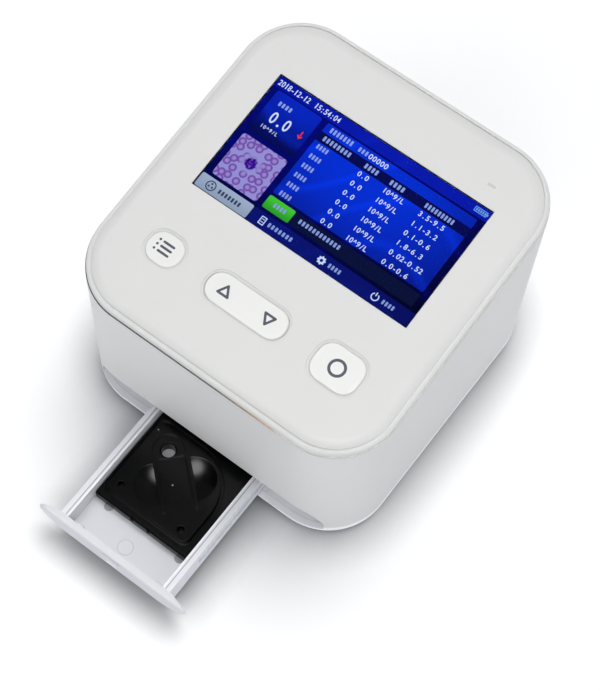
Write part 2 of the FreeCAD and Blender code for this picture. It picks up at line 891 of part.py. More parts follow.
def drawer_front():
    """Front plate: straight top, lower edge that curves up to its ends, and wings that thin out."""
    low = tray_bottom
    high = tray_top
    height = high - low
    x = plate_half_width
    widest_z = low + plate_widest * height
    sag_x = x - plate_sag[0]
    sag_z = low + plate_sag[1] * height
    shoulder_x = x - plate_shoulder
    bend_x = x - plate_shoulder_sag[0]
    bend_z = high - plate_shoulder_sag[1]

    def at(px, pz):
        return Vector(px, drawer_front_y, pz)

    flat = plate_flat_half
    edges = [
        Part.LineSegment(at(-flat, low), at(flat, low)).toShape(),
        Part.Arc(at(flat, low), at(sag_x, sag_z), at(x, widest_z)).toShape(),
        Part.Arc(at(x, widest_z), at(bend_x, bend_z), at(shoulder_x, high)).toShape(),
        Part.LineSegment(at(shoulder_x, high), at(-shoulder_x, high)).toShape(),
        Part.Arc(at(-shoulder_x, high), at(-bend_x, bend_z), at(-x, widest_z)).toShape(),
        Part.Arc(at(-x, widest_z), at(-sag_x, sag_z), at(-flat, low)).toShape(),
    ]
    plate = Part.Face(Part.Wire(edges)).extrude(Vector(0, plate_thickness, 0))
    plate = plate.makeFillet(plate_round, rim_edges(plate, Vector(0, -1, 0)))
    wing_start = tray_half_width + plate_wing_gap
    edge_y = drawer_front_y + plate_wing_edge
    back_y = tray_front_y + root
    taper = (
        Vector(wing_start, tray_front_y, 0), Vector(x, edge_y, 0), Vector(x + 1, edge_y, 0),
        Vector(x + 1, back_y, 0), Vector(wing_start, back_y, 0), Vector(wing_start, tray_front_y, 0),
    )
    wedge = Part.Face(Part.makePolygon(taper)).extrude(Vector(0, 0, high + 1))
    plate = plate.cut(both_sides(wedge))
    slot_width, slot_height, slot_depth = plate_slot
    slot_place = (0.0, drawer_front_y)
    slot = block_on(slot_place, (slot_width, 2 * slot_depth, slot_height), high - plate_slot_drop)
    hooks = []
    for side in (-1, 1):
        place = (side * (tray_inner_half - hook_inset), tray_front_y + hook_size[1] / 2)
        hooks.append(block_on(place, hook_size, tray_deck))
    return plate.cut(slot).fuse(hooks)


def nest_turned(shape):
    """Turn a shape drawn about the origin into the nest's place on the holder."""
    place = Vector(nest_centre[0], holder_front_y + nest_centre[1], 0)
    placed = shape.copy()
    placed.Placement = Placement(place, Rotation(up, nest_turn)).multiply(placed.Placement)
    return placed


def finger_bowl(side):
    """Shallow half-round dish beside one of the nest's rails."""
    ball_radius = (bowl_radius ** 2 + bowl_depth ** 2) / (2 * bowl_depth)
    edge = side * (nest_half[1] + nest_rail_offset + nest_rail_width / 2)
    ball = Part.makeSphere(ball_radius, Vector(bowl_shift, edge, holder_top - bowl_depth + ball_radius))
    return nest_turned(ball.common(box(-far, far, edge, side * far, -far, far)))


def platform_block(margin, low):
    """The raised platform's outline, moved out by margin, as an upright block with one wide corner."""
    left_margin, right_margin = platform_margins
    front, back = platform_ends
    block = box(
        left_margin - holder_half - margin, holder_half - right_margin + margin,
        holder_front_y + front - margin, holder_front_y + back + margin, low, far,
    )
    upright = [edge for edge in block.Edges if edge.BoundBox.ZLength > 1]
    upright.sort(key=lambda edge: edge.CenterOfMass.x + edge.CenterOfMass.y)
    block = block.makeFillet(platform_corner + margin, upright[:-1])
    upright = [edge for edge in block.Edges if edge.BoundBox.ZLength > 1]
    upright.sort(key=lambda edge: edge.CenterOfMass.x + edge.CenterOfMass.y)
    return block.makeFillet(platform_wide_corner + margin, upright[-1:])


def cuvette_holder():
    """Black sample holder: platform in a moat, turned nest with rails, finger dishes, light hole."""
    half = holder_half
    top = holder_top
    block = box(-half, half, holder_front_y, holder_front_y + holder_length, tray_deck, top)
    above = box(-far, far, -far, far, holder_deck, far)
    moat = platform_block(moat_width, holder_deck - moat_depth)
    block = block.cut(above.fuse(moat).cut(platform_block(0, 0)))
    front = min(block.Faces, key=lambda face: face.CenterOfMass.y)
    block = block.makeChamfer(holder_bevel, [max(front.Edges, key=lambda edge: edge.CenterOfMass.z)])
    rails = []
    for side in (-1, 1):
        s = side * (nest_half[1] + nest_rail_offset)
        start, end = nest_rail_ends
        half_rail = nest_rail_width / 2
        rail = box(start, end, s - half_rail, s + half_rail, top - root, top + nest_rail_height)
        rails.append(nest_turned(rail))
    holder = block.fuse(rails)
    light = (optical_x, light_y)
    cone_low = top - well_depth - light_cone
    cone = Part.makeCone(
        light_radius, light_radius + light_cone, light_cone, Vector(optical_x, light_y, cone_low)
    )
    cuts = [
        nest_turned(rounded_block(nest_half[0], nest_half[1], nest_corner, top - nest_depth, far)),
        post(well_radius, light, top - well_depth, far),
        post(light_radius, light, 0, far),
        cone,
        finger_bowl(-1),
        finger_bowl(1),
    ]
    sink_radius, sink_depth = screw_sink
    for x, y in screw_places:
        cuts.append(post(sink_radius, (x, holder_front_y + y), top - sink_depth, far))
    slot_width, slot_depth = tab_slot_size
    for x in tab_slots:
        size = (slot_width, 2 * slot_depth, far)
        cuts.append(block_on((x + slot_width / 2, holder_front_y), size, tray_deck + tab_slot_lift))
    return holder.cut(Part.makeCompound(cuts))


def drawer_flag():
    """Tab at the tray's rear that the drawer sensor sees."""
    blade_rear = bay_rear + gate_slot[1] - drawer_travel - flag_thickness
    foot_place = (flag_x, tray_rear_y + flag_thickness / 2)
    foot = block_on(foot_place, (flag_width, flag_thickness, flag_height), tray_deck)
    half = flag_blade / 2
    low = tray_deck + flag_blade_lift
    blade = box(flag_x - half, flag_x + half, tray_rear_y, blade_rear, low, tray_deck + flag_height)
    return foot.fuse(blade)


def drawer_sensor():
    """Light gate behind the bay that the flag enters when the drawer is shut."""
    slot_width, slot_depth, slot_height = gate_slot
    rear = bay_rear + gate_depth
    gate = block_on((flag_x, bay_rear + gate_depth / 2), (gate_width, gate_depth, gate_height), gate_low)
    slot = block_on((flag_x, bay_rear), (slot_width, 2 * slot_depth, slot_height + 1), gate_low - 1)
    half = gate_width / 2 + gate_board_margin
    top = gate_low + gate_height + gate_board_rise
    board = box(flag_x - half, flag_x + half, rear, rear + gate_board_thickness, base_top, top)
    return gate.cut(slot).fuse(board)


def light_source():
    """Flat lamp board under the light hole."""
    place = (optical_x, optical_y)
    disc_radius, disc_height = lamp_disc
    disc = post(disc_radius, place, base_top, base_top + disc_height)
    return disc.fuse(block_on(place, (lamp_side, lamp_side, lamp_height), base_top + disc_height))


def rod_places():
    """Middles of the two guide rods."""
    return [(optical_x - rod_spread, rod_y), (optical_x + rod_spread, rod_y)]


def optics_tower():
    """Frame that stands on the bay and carries the rods, the screw and the motor."""
    half = carriage_half_width + tower_side
    left = optical_x - half
    right = optical_x + half
    front = rod_y - tower_front
    back = rod_y + tower_back
    rear = back + tower_plate
    foot = box(left, right, front, rear, bay_top, bay_top + tower_plate)
    plate = box(left, right, back, rear, bay_top, tower_top)
    shelf = box(left, right, front, rear, tower_top - tower_plate, tower_top)
    window = rounded_block(*tower_window, 0, 2 * tower_plate)
    window.rotate(Vector(0, 0, 0), Vector(1, 0, 0), 90)
    window.translate(Vector(optical_x, rear + 1, tower_middle))
    holes = [post(lead_radius + running_gap, (optical_x, rod_y), 0, far)]
    holes += [post(rod_radius + press_gap, place, 0, far) for place in rod_places()]
    return foot.fuse([plate, shelf]).cut([window] + holes)


def guide_rods():
    """Two ground rods the carriage slides on."""
    return [post(rod_radius, place, bay_top + rod_end_gap, tower_top) for place in rod_places()]


def focus_motor():
    """Flat stepper motor on the tower's top shelf."""
    flange_half_x, flange_half_y, flange_height = motor_flange
    axis = (optical_x, rod_y)
    flange_top = tower_top + flange_height
    can = post(motor_radius, axis, flange_top, tower_top + motor_height)
    flange = rounded_block(flange_half_x, flange_half_y, flange_half_y, tower_top, flange_top, axis)
    terminal_place = (optical_x, rod_y + motor_terminal_y + motor_terminal[1] / 2)
    terminal = block_on(terminal_place, motor_terminal, tower_top + motor_terminal_lift)
    bore = post(lead_radius + running_gap, axis, 0, tower_top + lead_in_motor + lead_end_gap)
    return can.fuse([flange, terminal]).cut(bore)


def lead_screw():
    """Motor's long screw, which the carriage rides on."""
    return post(lead_radius, (optical_x, rod_y), bay_top + lead_end_gap, tower_top + lead_in_motor)


def focus_carriage():
    """Block on the rods with an arm that rings the objective."""
    low = carriage_low
    high = low + carriage_height
    arm_low = low + carriage_arm_step
    front = rod_y - carriage_half_depth
    size = (2 * carriage_half_width, 2 * carriage_half_depth, carriage_height)
    block = block_on((optical_x, rod_y), size, low)
    lens_axis = (optical_x, optical_y)
    ring = post(objective_radius + carriage_ring, lens_axis, arm_low, arm_top)
    half = carriage_arm_half
    arm = box(optical_x - half, optical_x + half, optical_y, front + root, arm_low, arm_top)
    cuts = [
        post(objective_radius + press_gap, lens_axis, 0, far),
        post(lead_radius + running_gap, (optical_x, rod_y), 0, far),
    ]
    cuts += [post(rod_radius + running_gap, place, 0, far) for place in rod_places()]
    return block.fuse([ring, arm]).cut(cuts)


def objective_lens():
    """Lens barrel with a tapered nose and a collar that rests on the carriage arm."""
    tip_radius, cone_length = objective_nose
    collar, collar_height = objective_collar
    tip = objective_tip
    body = objective_radius
    profile = (
        (0.0, tip), (tip_radius, tip), (body, tip + cone_length), (body, arm_top), (body + collar, arm_top),
        (body + collar, arm_top + collar_height), (body, arm_top + collar_height),
        (body, camera_low), (0.0, camera_low),
    )
    points = [Vector(optical_x + r, optical_y, z) for r, z in profile]
    face = Part.Face(Part.makePolygon(points + points[:1]))
    return face.revolve(Vector(optical_x, optical_y, 0), up, 360)


def camera_board():
    """Camera housing with its board on the upper end of the lens barrel."""
    place = (optical_x, optical_y)
    half = camera_side / 2
    high = camera_low + camera_height
    cube = rounded_block(half, half, camera_corner, camera_low, high, place)
    board = block_on(place, (camera_board_side, camera_board_side, board_thickness), high)
    socket_place = (optical_x, optical_y + half)
    socket = block_on(socket_place, camera_socket, high + board_thickness)
    return cube.fuse([board, socket])


def main_board():
    """Main circuit board, bent round the bay, with chips, a plug block and capacitors."""
    low = main_board_z
    top = main_board_top
    left, right, rear_gap = main_board_rear
    rear_end = panel_inner_y - main_board_rear_gap
    board = box(main_board_inner, main_board_outer, main_board_front, main_board_back, low, top)
    plug_x = main_board_outer - plug_block_inset[0]
    plug_y = main_board_front + plug_block_inset[1]
    parts = [
        box(left, right, bay_rear + rear_gap, rear_end, low, top),
        block_on(processor_place, (processor_side, processor_side, processor_height), top),
        block_on((main_board_inner + memory_reach, memory_y), memory_size, top),
        block_on((plug_x, plug_y), plug_block_size, top),
    ]
    for y in capacitor_places:
        parts.append(post(capacitor_radius, (plug_x, y), top, top + capacitor_height))
    return board.fuse(parts)


def post_places():
    """Middles of the posts under the main board, near its corners and edges."""
    inner = main_board_inner + post_inset
    outer = main_board_outer - post_inset
    front_inner_y, front_outer_y, back_inset = post_ends
    left, right, rear_gap = main_board_rear
    back_y = main_board_back - back_inset
    rear_y = bay_rear + rear_gap + post_half
    end_y = panel_inner_y - main_board_rear_gap - post_half
    return (
        (inner, front_inner_y), (outer, front_outer_y), (inner, back_y),
        (right - post_inset, rear_y), (left + post_inset, end_y),
    )


def board_posts():
    """Posts that hold the main board above the base plate."""
    size = (2 * post_half, 2 * post_half, main_board_lift)
    return [block_on(place, size, base_top) for place in post_places()]


def heat_sink():
    """Finned block on the processor."""
    x, y = processor_place
    sink = block_on(processor_place, (sink_side, sink_side, sink_height), processor_top)
    slot_size = (sink_slot_width, sink_side + 1, sink_height)
    slots = []
    for dx in row(sink_slots, 2 * sink_slot_width):
        slots.append(block_on((x + dx, y), slot_size, processor_top + sink_foot))
    return sink.cut(slots)


def lying_along(shape, middle_z, length):
    """Turn an upright shape so that it lies along the battery's axis."""
    shape.rotate(Vector(0, 0, 0), Vector(1, 0, 0), 90)
    shape.translate(Vector(battery_x, battery_y + length / 2, middle_z))
    return shape


def battery_pack():
    """Two round cells on top of each other in one sleeve, lying along the left wall."""
    middle = base_top + strap_thickness + 2 * cell_radius
    sleeve = rounded_block(cell_radius, cell_radius * 2, cell_radius, 0, cell_length)
    return lying_along(sleeve, middle, cell_length)


def battery_bracket():
    """Bent strap that holds the battery to the base plate, with two feet."""
    low = base_top
    middle = low + strap_thickness + 2 * cell_radius
    inner_x = cell_radius + press_gap
    inner_z = cell_radius * 2 + press_gap
    outer_x = inner_x + strap_thickness
    outer_z = inner_z + strap_thickness
    band = rounded_block(outer_x, outer_z, outer_x, 0, strap_width)
    band = band.cut(rounded_block(inner_x, inner_z, inner_x, -1, strap_width + 1))
    band = lying_along(band, middle, strap_width)
    band = band.common(box(-far, far, -far, far, low, far))
    front = battery_y - strap_width / 2
    back = battery_y + strap_width / 2
    foot_top = low + strap_thickness
    half = cradle_width / 2
    edge = outer_x - root
    parts = [box(battery_x - edge, battery_x + edge, battery_y - half, battery_y + half, low, foot_top)]
    for side in (-1, 1):
        inner = battery_x + side * inner_x
        outer = battery_x + side * outer_x
        foot_end = outer + side * strap_foot
        parts.append(box(inner, foot_end, front, back, low, foot_top))
        parts.append(box(inner, outer, front, back, low, middle - cell_radius))
    return band.fuse(parts).cut(battery_pack())


def speaker():
    """Small round loudspeaker over the base plate's vents."""
    frame = post(speaker_radius, speaker_place, base_top, base_top + speaker_rim)
    return frame.fuse(post(speaker_can, speaker_place, base_top + speaker_rim, base_top + speaker_height))


def port_panel():
    """Recessed panel in the rear wall that carries the switch and the sockets."""
    plate = box(
        port_left - port_overlap, port_right + port_overlap, panel_inner_y, wall_inner_y,
        port_low - port_overlap, port_high + port_overlap,
    )
    case_x, case_z = switch_case_half
    half_case = case_x + seam_gap
    half_usb = usb_size[0] / 2 + usb_margin
    usb_top = main_board_top + usb_size[2] + usb_margin
    inner = panel_inner_y - 1
    cuts = [
        box(rocker_x - half_case, rocker_x + half_case, inner, far, rocker_z - case_z, rocker_z + case_z),
        box(usb_x - half_usb, usb_x + half_usb, inner, far, main_board_top, usb_top),
        rod(dc_collar_radius + seam_gap, (dc_x, inner, dc_z), (dc_x, far, dc_z)),
    ]
    return plate.cut(cuts)


def switch_body():
    """Rocker switch's case, with a collar on the panel, a round pocket and two tabs."""
    inner = wall_inner_y - switch_case_depth
    half_x, half_z = switch_case_half
    left = rocker_x - half_x
    right = rocker_x + half_x
    case = box(left, right, inner, wall_inner_y, rocker_z - half_z, rocker_z + half_z)
    collar = rounded_block(*switch_collar_half, switch_collar_corner, 0, switch_collar_height)
    collar.rotate(Vector(0, 0, 0), Vector(1, 0, 0), -90)
    collar.translate(Vector(rocker_x, wall_inner_y, rocker_z))
    pocket_half = rocker_half_width + rocker_gap
    pocket_start = (rocker_x - pocket_half, wall_inner_y, rocker_z)
    pocket_end = (rocker_x + pocket_half, wall_inner_y, rocker_z)
    pin_y = wall_inner_y - rocker_pin_depth
    pin_half = rocker_pin_half + seam_gap
    cuts = [
        rod(rocker_radius + rocker_gap, pocket_start, pocket_end),
        rod(
            rocker_pin_radius + running_gap,
            (rocker_x - pin_half, pin_y, rocker_z), (rocker_x + pin_half, pin_y, rocker_z),
        ),
    ]
    tabs = []
    tab_place = (rocker_x, inner - switch_tab[1] / 2)
    for side in (-1, 1):
        tab_low = rocker_z + side * switch_tab_offset - switch_tab[2] / 2
        tabs.append(block_on(tab_place, switch_tab, tab_low))
    return case.fuse([collar] + tabs).cut(cuts)


def power_rocker():
    """Rocker paddle on its pin, drawn tilted to its off side."""
    drum = rod(rocker_radius, (-rocker_half_width, 0, 0), (rocker_half_width, 0, 0))
    reach = 2 * rocker_radius
    for side in (-1, 1):
        waste = box(-reach, reach, rocker_flat, reach, 0, side * reach)
        waste.rotate(Vector(0, rocker_flat, 0), Vector(1, 0, 0), -side * rocker_tilt)
        drum = drum.cut(waste)
    pin_start = (-rocker_pin_half, -rocker_pin_depth, 0)
    pin_end = (rocker_pin_half, -rocker_pin_depth, 0)
    paddle = drum.fuse(rod(rocker_pin_radius, pin_start, pin_end))
    paddle.rotate(Vector(*pin_start), Vector(1, 0, 0), rocker_tilt)
    paddle.translate(Vector(rocker_x, wall_inner_y, rocker_z))
    return paddle


def usb_port():
    """Type A socket: folded metal mouth with a tongue."""
    width, depth, height = usb_size
    low = main_board_top
    front = socket_front_y
    rear = front - depth
    half = width / 2
    can = box(usb_x - half, usb_x + half, rear, front, low, low + height)
    half -= usb_sheet
    mouth = box(usb_x - half, usb_x + half, rear + 1, front + 1, low + usb_sheet, low + height - usb_sheet)
    tongue_width, tongue_thickness = usb_tongue
    half = tongue_width / 2
    tongue_low = low + usb_tongue_lift
    tongue = box(
        usb_x - half, usb_x + half, rear + root, front - usb_tongue_setback,
        tongue_low, tongue_low + tongue_thickness,
    )
    return can.cut(mouth).fuse(tongue)


def dc_socket():
    """Power inlet: round collar through the panel, bored for the plug, with its pin."""
    width, depth, height = dc_case
    front = socket_front_y
    bore_end = front - dc_bore_depth
    half = width / 2
    case = box(
        dc_x - half, dc_x + half, front - depth, panel_inner_y, main_board_top, main_board_top + height
    )
    collar = rod(dc_collar_radius, (dc_x, panel_inner_y - 1, dc_z), (dc_x, front, dc_z))
    bore = rod(dc_bore_radius, (dc_x, bore_end, dc_z), (dc_x, front + 1, dc_z))
    pin = rod(dc_pin_radius, (dc_x, bore_end - root, dc_z), (dc_x, front - 1, dc_z))
    return case.fuse(collar).cut(bore).fuse(pin)


def save(name, shape):
    """Write one sub-part, moved to the common origin."""
    pieces = shape if isinstance(shape, list) else [shape]
    solids = []
    for piece in pieces:
        copy = piece.copy()
        copy.translate(Vector(0, drawer_travel / 2, 0))
        solids += copy.Solids
    whole = solids[0] if len(solids) == 1 else Part.makeCompound(solids)
    whole.exportStep(os.path.join("parts", name + ".step"))
    print(name, len(solids), round(sum(solid.Volume for solid in solids)), whole.isValid())


os.makedirs("parts", exist_ok=True)
sub_parts = (
    outer_shell, trim_ring, bezel_ring, top_cover, display_window, lcd_panel, lcd_frame, display_bracket,
    menu_key, nav_key, ok_key, tact_switches, key_board, status_light, base_plate, rubber_feet, drawer_bay,
    slide_rail_right, slide_rail_left, drawer_tray, tray_plugs, drawer_front, cuvette_holder, drawer_flag,
    drawer_sensor, light_source, optics_tower, guide_rods, focus_motor, lead_screw, focus_carriage,
    objective_lens, camera_board, main_board, board_posts, heat_sink, battery_pack, battery_bracket,
    speaker, port_panel, switch_body, power_rocker, usb_port, dc_socket,
)
for make in sub_parts:
    save(make.__name__, make())
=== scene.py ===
import logging
import math
from dataclasses import dataclass, field
from enum import Enum
from typing import Any, Sequence

import bmesh
import bpy
from mathutils import Matrix, Vector


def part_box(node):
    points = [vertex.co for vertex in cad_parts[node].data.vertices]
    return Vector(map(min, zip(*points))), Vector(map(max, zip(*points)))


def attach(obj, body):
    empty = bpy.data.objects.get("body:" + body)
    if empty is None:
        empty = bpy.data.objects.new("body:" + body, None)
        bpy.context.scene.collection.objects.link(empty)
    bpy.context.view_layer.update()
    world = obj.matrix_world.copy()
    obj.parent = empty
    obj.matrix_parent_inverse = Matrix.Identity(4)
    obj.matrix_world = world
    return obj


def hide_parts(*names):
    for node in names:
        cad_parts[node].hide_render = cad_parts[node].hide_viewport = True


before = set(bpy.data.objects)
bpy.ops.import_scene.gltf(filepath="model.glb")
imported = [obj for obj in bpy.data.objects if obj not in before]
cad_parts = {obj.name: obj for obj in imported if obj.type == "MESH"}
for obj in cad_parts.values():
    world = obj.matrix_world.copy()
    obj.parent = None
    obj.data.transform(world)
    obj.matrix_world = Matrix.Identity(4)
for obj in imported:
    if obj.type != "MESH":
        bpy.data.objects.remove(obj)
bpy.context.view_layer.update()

Point = tuple[float, float]
Rgb = tuple[float, float, float]
Sockets = dict[int | str, Any]

MM = 0.001
log = logging.getLogger("scene")


# Colour and plane geometry


def seen(red: float, green: float, blue: float) -> Rgb:
    """Linear colour of a tone written as it looks, from 0 to 255.

    Args:
        red: Red share.
        green: Green share.
        blue: Blue share.

    Returns:
        The linear colour.
    """
    parts = [part / 255 for part in (red, green, blue)]
    return tuple(part / 12.92 if part < 0.04045 else ((part + 0.055) / 1.055) ** 2.4 for part in parts)


def circle(centre: Point, radius: float, steps: int = 32) -> list[Point]:
    """Points round a circle, against the clock."""
    turns = [2 * math.pi * index / steps for index in range(steps)]
    return [(centre[0] + radius * math.cos(turn), centre[1] + radius * math.sin(turn)) for turn in turns]


def outline(points: Sequence[Point], shrink: float, radius: float, steps: int = 6) -> list[Point]:
    """Convex outline moved in by shrink and then rounded by a radius.

    Args:
        points: Corners against the clock; two of them give a bar with round ends.
        shrink: How far the sides move in before the rounding.
        radius: Radius that is added round every corner.
        steps: Parts of each rounded corner.

    Returns:
        The outline's points, against the clock.
    """
    count = len(points)
    normals = []
    for index in range(count):
        x0, y0 = points[index]
        x1, y1 = points[(index + 1) % count]
        normals.append(math.atan2(x0 - x1, y1 - y0))
    made = []
    for index, (x, y) in enumerate(points):
        before = normals[index - 1]
        turn = (normals[index] - before) % (2 * math.pi)
        reach = shrink / math.cos(turn / 2) if shrink else 0.0
        middle = before + turn / 2
        corner = (x - reach * math.cos(middle), y - reach * math.sin(middle))
        for step in range(steps + 1):
            angle = before + turn * step / steps
            made.append((corner[0] + radius * math.cos(angle), corner[1] + radius * math.sin(angle)))
    return made


def corners(left: float, right: float, low: float, high: float) -> list[Point]:
    """Four corners of a rectangle, against the clock."""
    return [(left, low), (right, low), (right, high), (left, high)]


# Shader nodes


class Value:
    """One shader socket, so that sums of sockets are written as sums."""

    def __init__(self, graph: "Graph", socket: bpy.types.NodeSocket) -> None:
        """Wrap an output socket of a graph."""
        self.graph = graph
        self.socket = socket

    def math(self, operation: str, first: Any, second: Any = 0.0, clamp: bool = False) -> "Value":
        """Math node on one or two operands.

        Args:
            operation: Name of the sum.
            first: Socket or number on the left.
            second: Socket or number on the right.
            clamp: Whether the result is held from 0 to 1.

        Returns:
            The result.
        """
        settings = {"operation": operation, "use_clamp": clamp}
        return self.graph.add("ShaderNodeMath", settings, {0: first, 1: second})

    def __add__(self, other: Any) -> "Value":
        """Sum."""
        return self.math("ADD", self, other)

    def __radd__(self, other: Any) -> "Value":
        """Reflected sum."""
        return self.math("ADD", other, self)

    def __sub__(self, other: Any) -> "Value":
        """Difference."""
        return self.math("SUBTRACT", self, other)

    def __rsub__(self, other: Any) -> "Value":
        """Reflected difference."""
        return self.math("SUBTRACT", other, self)

    def __mul__(self, other: Any) -> "Value":
        """Product."""
        return self.math("MULTIPLY", self, other)

    def __rmul__(self, other: Any) -> "Value":
        """Reflected product."""
        return self.math("MULTIPLY", other, self)

    def __truediv__(self, other: Any) -> "Value":
        """Quotient."""
        return self.math("DIVIDE", self, other)

    def __lt__(self, other: Any) -> "Value":
        """One where the socket is below the other operand."""
        return self.math("LESS_THAN", self, other)

    def __gt__(self, other: Any) -> "Value":
        """One where the socket is above the other operand."""
        return self.math("GREATER_THAN", self, other)

    def __abs__(self) -> "Value":
        """Size without the sign."""
        return self.math("ABSOLUTE", self)

    def fade(self, start: float, end: float) -> "Value":
        """Rise from 0 at start to 1 at end, held outside them."""
        settings = {"interpolation_type": "SMOOTHSTEP"}
        names = ("Value", "From Min", "From Max", "To Min", "To Max")
        if start > end:
            return 1 - self.fade(end, start)
        return self.graph.add("ShaderNodeMapRange", settings, dict(zip(names, (self, start, end, 0.0, 1.0))))


class Graph:
    """Node tree of one material, with the few nodes that the finishes share."""

    def __init__(self, name: str) -> None:
        """Start an empty material."""
        self.made = bpy.data.materials.new(name)
        self.made.use_nodes = True
        self.tree = self.made.node_tree
        self.tree.nodes.clear()

    def add(self, kind: str, settings: Sockets | None = None, inputs: Sockets | None = None,
            output: int | str = 0) -> Value:
        """Any node: its settings first, then its sockets.

        Args:
            kind: Node type.
            settings: Properties of the node; "stops" fills a colour ramp.
            inputs: Values or links by socket name or number.
            output: Socket that is handed back.

        Returns:
            The chosen output.
        """
        node = self.tree.nodes.new(kind)
        for name, value in (settings or {}).items():
            if name == "stops":
                self.fill(node.color_ramp, value)
            else:
                setattr(node, name, value)
        for key, value in (inputs or {}).items():
            socket = node.inputs[key]
            if isinstance(value, Value):
                self.tree.links.new(value.socket, socket)
            elif socket.type == "RGBA":
                socket.default_value = (*value[:3], 1.0)
            else:
                socket.default_value = value
        return Value(self, node.outputs[output] if node.outputs else None)

    @staticmethod
    def fill(ramp: bpy.types.ColorRamp, stops: Sequence[tuple[float, Rgb]]) -> None:
        """Write the stops of a colour ramp."""
        while len(ramp.elements) < len(stops):
            ramp.elements.new(1.0)
        for element, (place, colour) in zip(ramp.elements, stops):
            element.position = place
            element.color = (*colour, 1.0)

    def place(self) -> Value:
        """Place on the piece, in metres."""
        return self.add("ShaderNodeTexCoord", output="Object")

    def axes(self) -> list[Value]:
        """Place on the piece as three numbers, in millimetres."""
        split = self.add("ShaderNodeSeparateXYZ", inputs={0: self.place()})
        sockets = split.socket.node.outputs
        return [Value(self, socket) / MM for socket in sockets]

    def noise(self, size: float, detail: float = 2.0, stretch: Rgb = (1.0, 1.0, 1.0)) -> Value:
        """Cloudy pattern from 0 to 1.

        Args:
            size: Rough size of its patches in millimetres.
            detail: How many finer layers it has.
            stretch: Factor on each axis before the pattern is read.

        Returns:
            The pattern.
        """
        place = self.add("ShaderNodeVectorMath", {"operation": "MULTIPLY"}, {0: self.place(), 1: stretch})
        inputs = {"Vector": place, "Scale": 1 / (size * MM), "Detail": detail}
        return self.add("ShaderNodeTexNoise", inputs=inputs)

    def mix(self, share: Any, first: Any, second: Any) -> Value:
        """Colour between two colours."""
        settings = {"data_type": "RGBA"}
        return self.add("ShaderNodeMix", settings, {0: share, 6: first, 7: second}, 2)

    def inside(self, low: Rgb, high: Rgb) -> Value:
        """One inside a block given in millimetres, and 0 outside it."""
        masks = []
        for axis, start, end in zip(self.axes(), low, high):
            masks.append(abs(axis - (start + end) / 2) < (end - start) / 2)
        return masks[0] * masks[1] * masks[2]

    def bump(self, height: Value, depth: float, edge: float) -> Value:
        """Normal of a surface with relief and softened edges.

        Args:
            height: Relief from 0 to 1.
            depth: Depth of the relief in millimetres.
            edge: Radius of the softened edges in millimetres.

        Returns:
            The normal.
        """
        inputs = {"Height": height, "Strength": 1.0, "Distance": depth * MM}
        if edge:
            inputs["Normal"] = self.add("ShaderNodeBevel", {"samples": 6}, {"Radius": edge * MM})
        return self.add("ShaderNodeBump", inputs=inputs)

    def surface(self, inputs: Sockets) -> bpy.types.Material:
        """Close the material with a principled surface."""
        return self.close(self.add("ShaderNodeBsdfPrincipled", inputs=inputs))

    def close(self, shader: Value) -> bpy.types.Material:
        """Close the material with any shader."""
        self.add("ShaderNodeOutputMaterial", inputs={"Surface": shader})
        return self.made


# Finishes


@dataclass(frozen=True)
class Moulded:
    """Moulded plastic: faint clouds in its tone, fine grain, softened edges and, if a height is given, painted light
    below it.
    """

    name: str
    tone: Rgb
    roughness: float = 0.42
    grain_size: float = 0.45
    grain_depth: float = 0.004
    edge: float = 0.25
    specular: float = 0.5
    clouds: float = 0.03
    coat: float = 0.0
    painted_light_height: float = 0.0
    painted_light_tone: Rgb = (1.0, 1.0, 1.0)

    def material(self) -> bpy.types.Material:
        """Build the material; below a given height it is paler: painted light on the shaded low band."""
        graph = Graph(self.name)
        cloud = graph.noise(38.0)
        grain = graph.noise(self.grain_size, 3.0)
        darker = tuple(part * (1 - self.clouds) for part in self.tone)
        colour = graph.mix(cloud, self.tone, darker)
        # Painted light: the colour turns paler towards the bottom, below the given height.
        if self.painted_light_height:
            colour = graph.mix(graph.axes()[2].fade(self.painted_light_height + 2.0, self.painted_light_height), colour, self.painted_light_tone)
        rough = self.roughness - 0.05 + cloud * 0.04 + grain * 0.06
        return graph.surface({
            "Base Color": colour, "Roughness": rough, "Specular IOR Level": self.specular,
            "Coat Weight": self.coat, "Normal": graph.bump(grain, self.grain_depth, self.edge),
        })


@dataclass(frozen=True)
class Metal:
    """Bare metal with drawn or rolled lines."""

    name: str
    tone: Rgb
    roughness: float = 0.3
    lines: Rgb = (1.0, 20.0, 20.0)
    line_size: float = 4.0
    depth: float = 0.003

    def material(self) -> bpy.types.Material:
        """Build the material."""
        graph = Graph(self.name)
        lines = graph.noise(self.line_size, 3.0, self.lines)
        spots = graph.noise(14.0)
        colour = graph.mix(spots, self.tone, tuple(part * 0.86 for part in self.tone))
        return graph.surface({
            "Base Color": colour, "Metallic": 1.0, "Roughness": self.roughness - 0.06 + lines * 0.12,
            "Normal": graph.bump(lines, self.depth, 0.15),
        })


@dataclass(frozen=True)
class Board:
    """Circuit board with copper lines under the varnish, and dark parts above its top plane."""

    name: str
    lacquer: Rgb
    parts: Rgb
    top: float

    def material(self) -> bpy.types.Material:
        """Build the material."""
        graph = Graph(self.name)
        settings = {"feature": "F1", "distance": "MANHATTAN"}
        tracks = graph.add("ShaderNodeTexVoronoi", settings, {"Vector": graph.place(), "Scale": 420.0})
        track = abs(tracks - 0.42) < 0.05
        varnish = graph.mix(track * 0.5, self.lacquer, tuple(part * 1.9 for part in self.lacquer))
        height = graph.axes()[2]
        upper = height > self.top
        colour = graph.mix(upper, varnish, self.parts)
        grain = graph.noise(0.6)
        return graph.surface({
            "Base Color": colour, "Roughness": 0.3 + upper * 0.15 + grain * 0.08,
            "Normal": graph.bump(grain, 0.004, 0.12),
        })


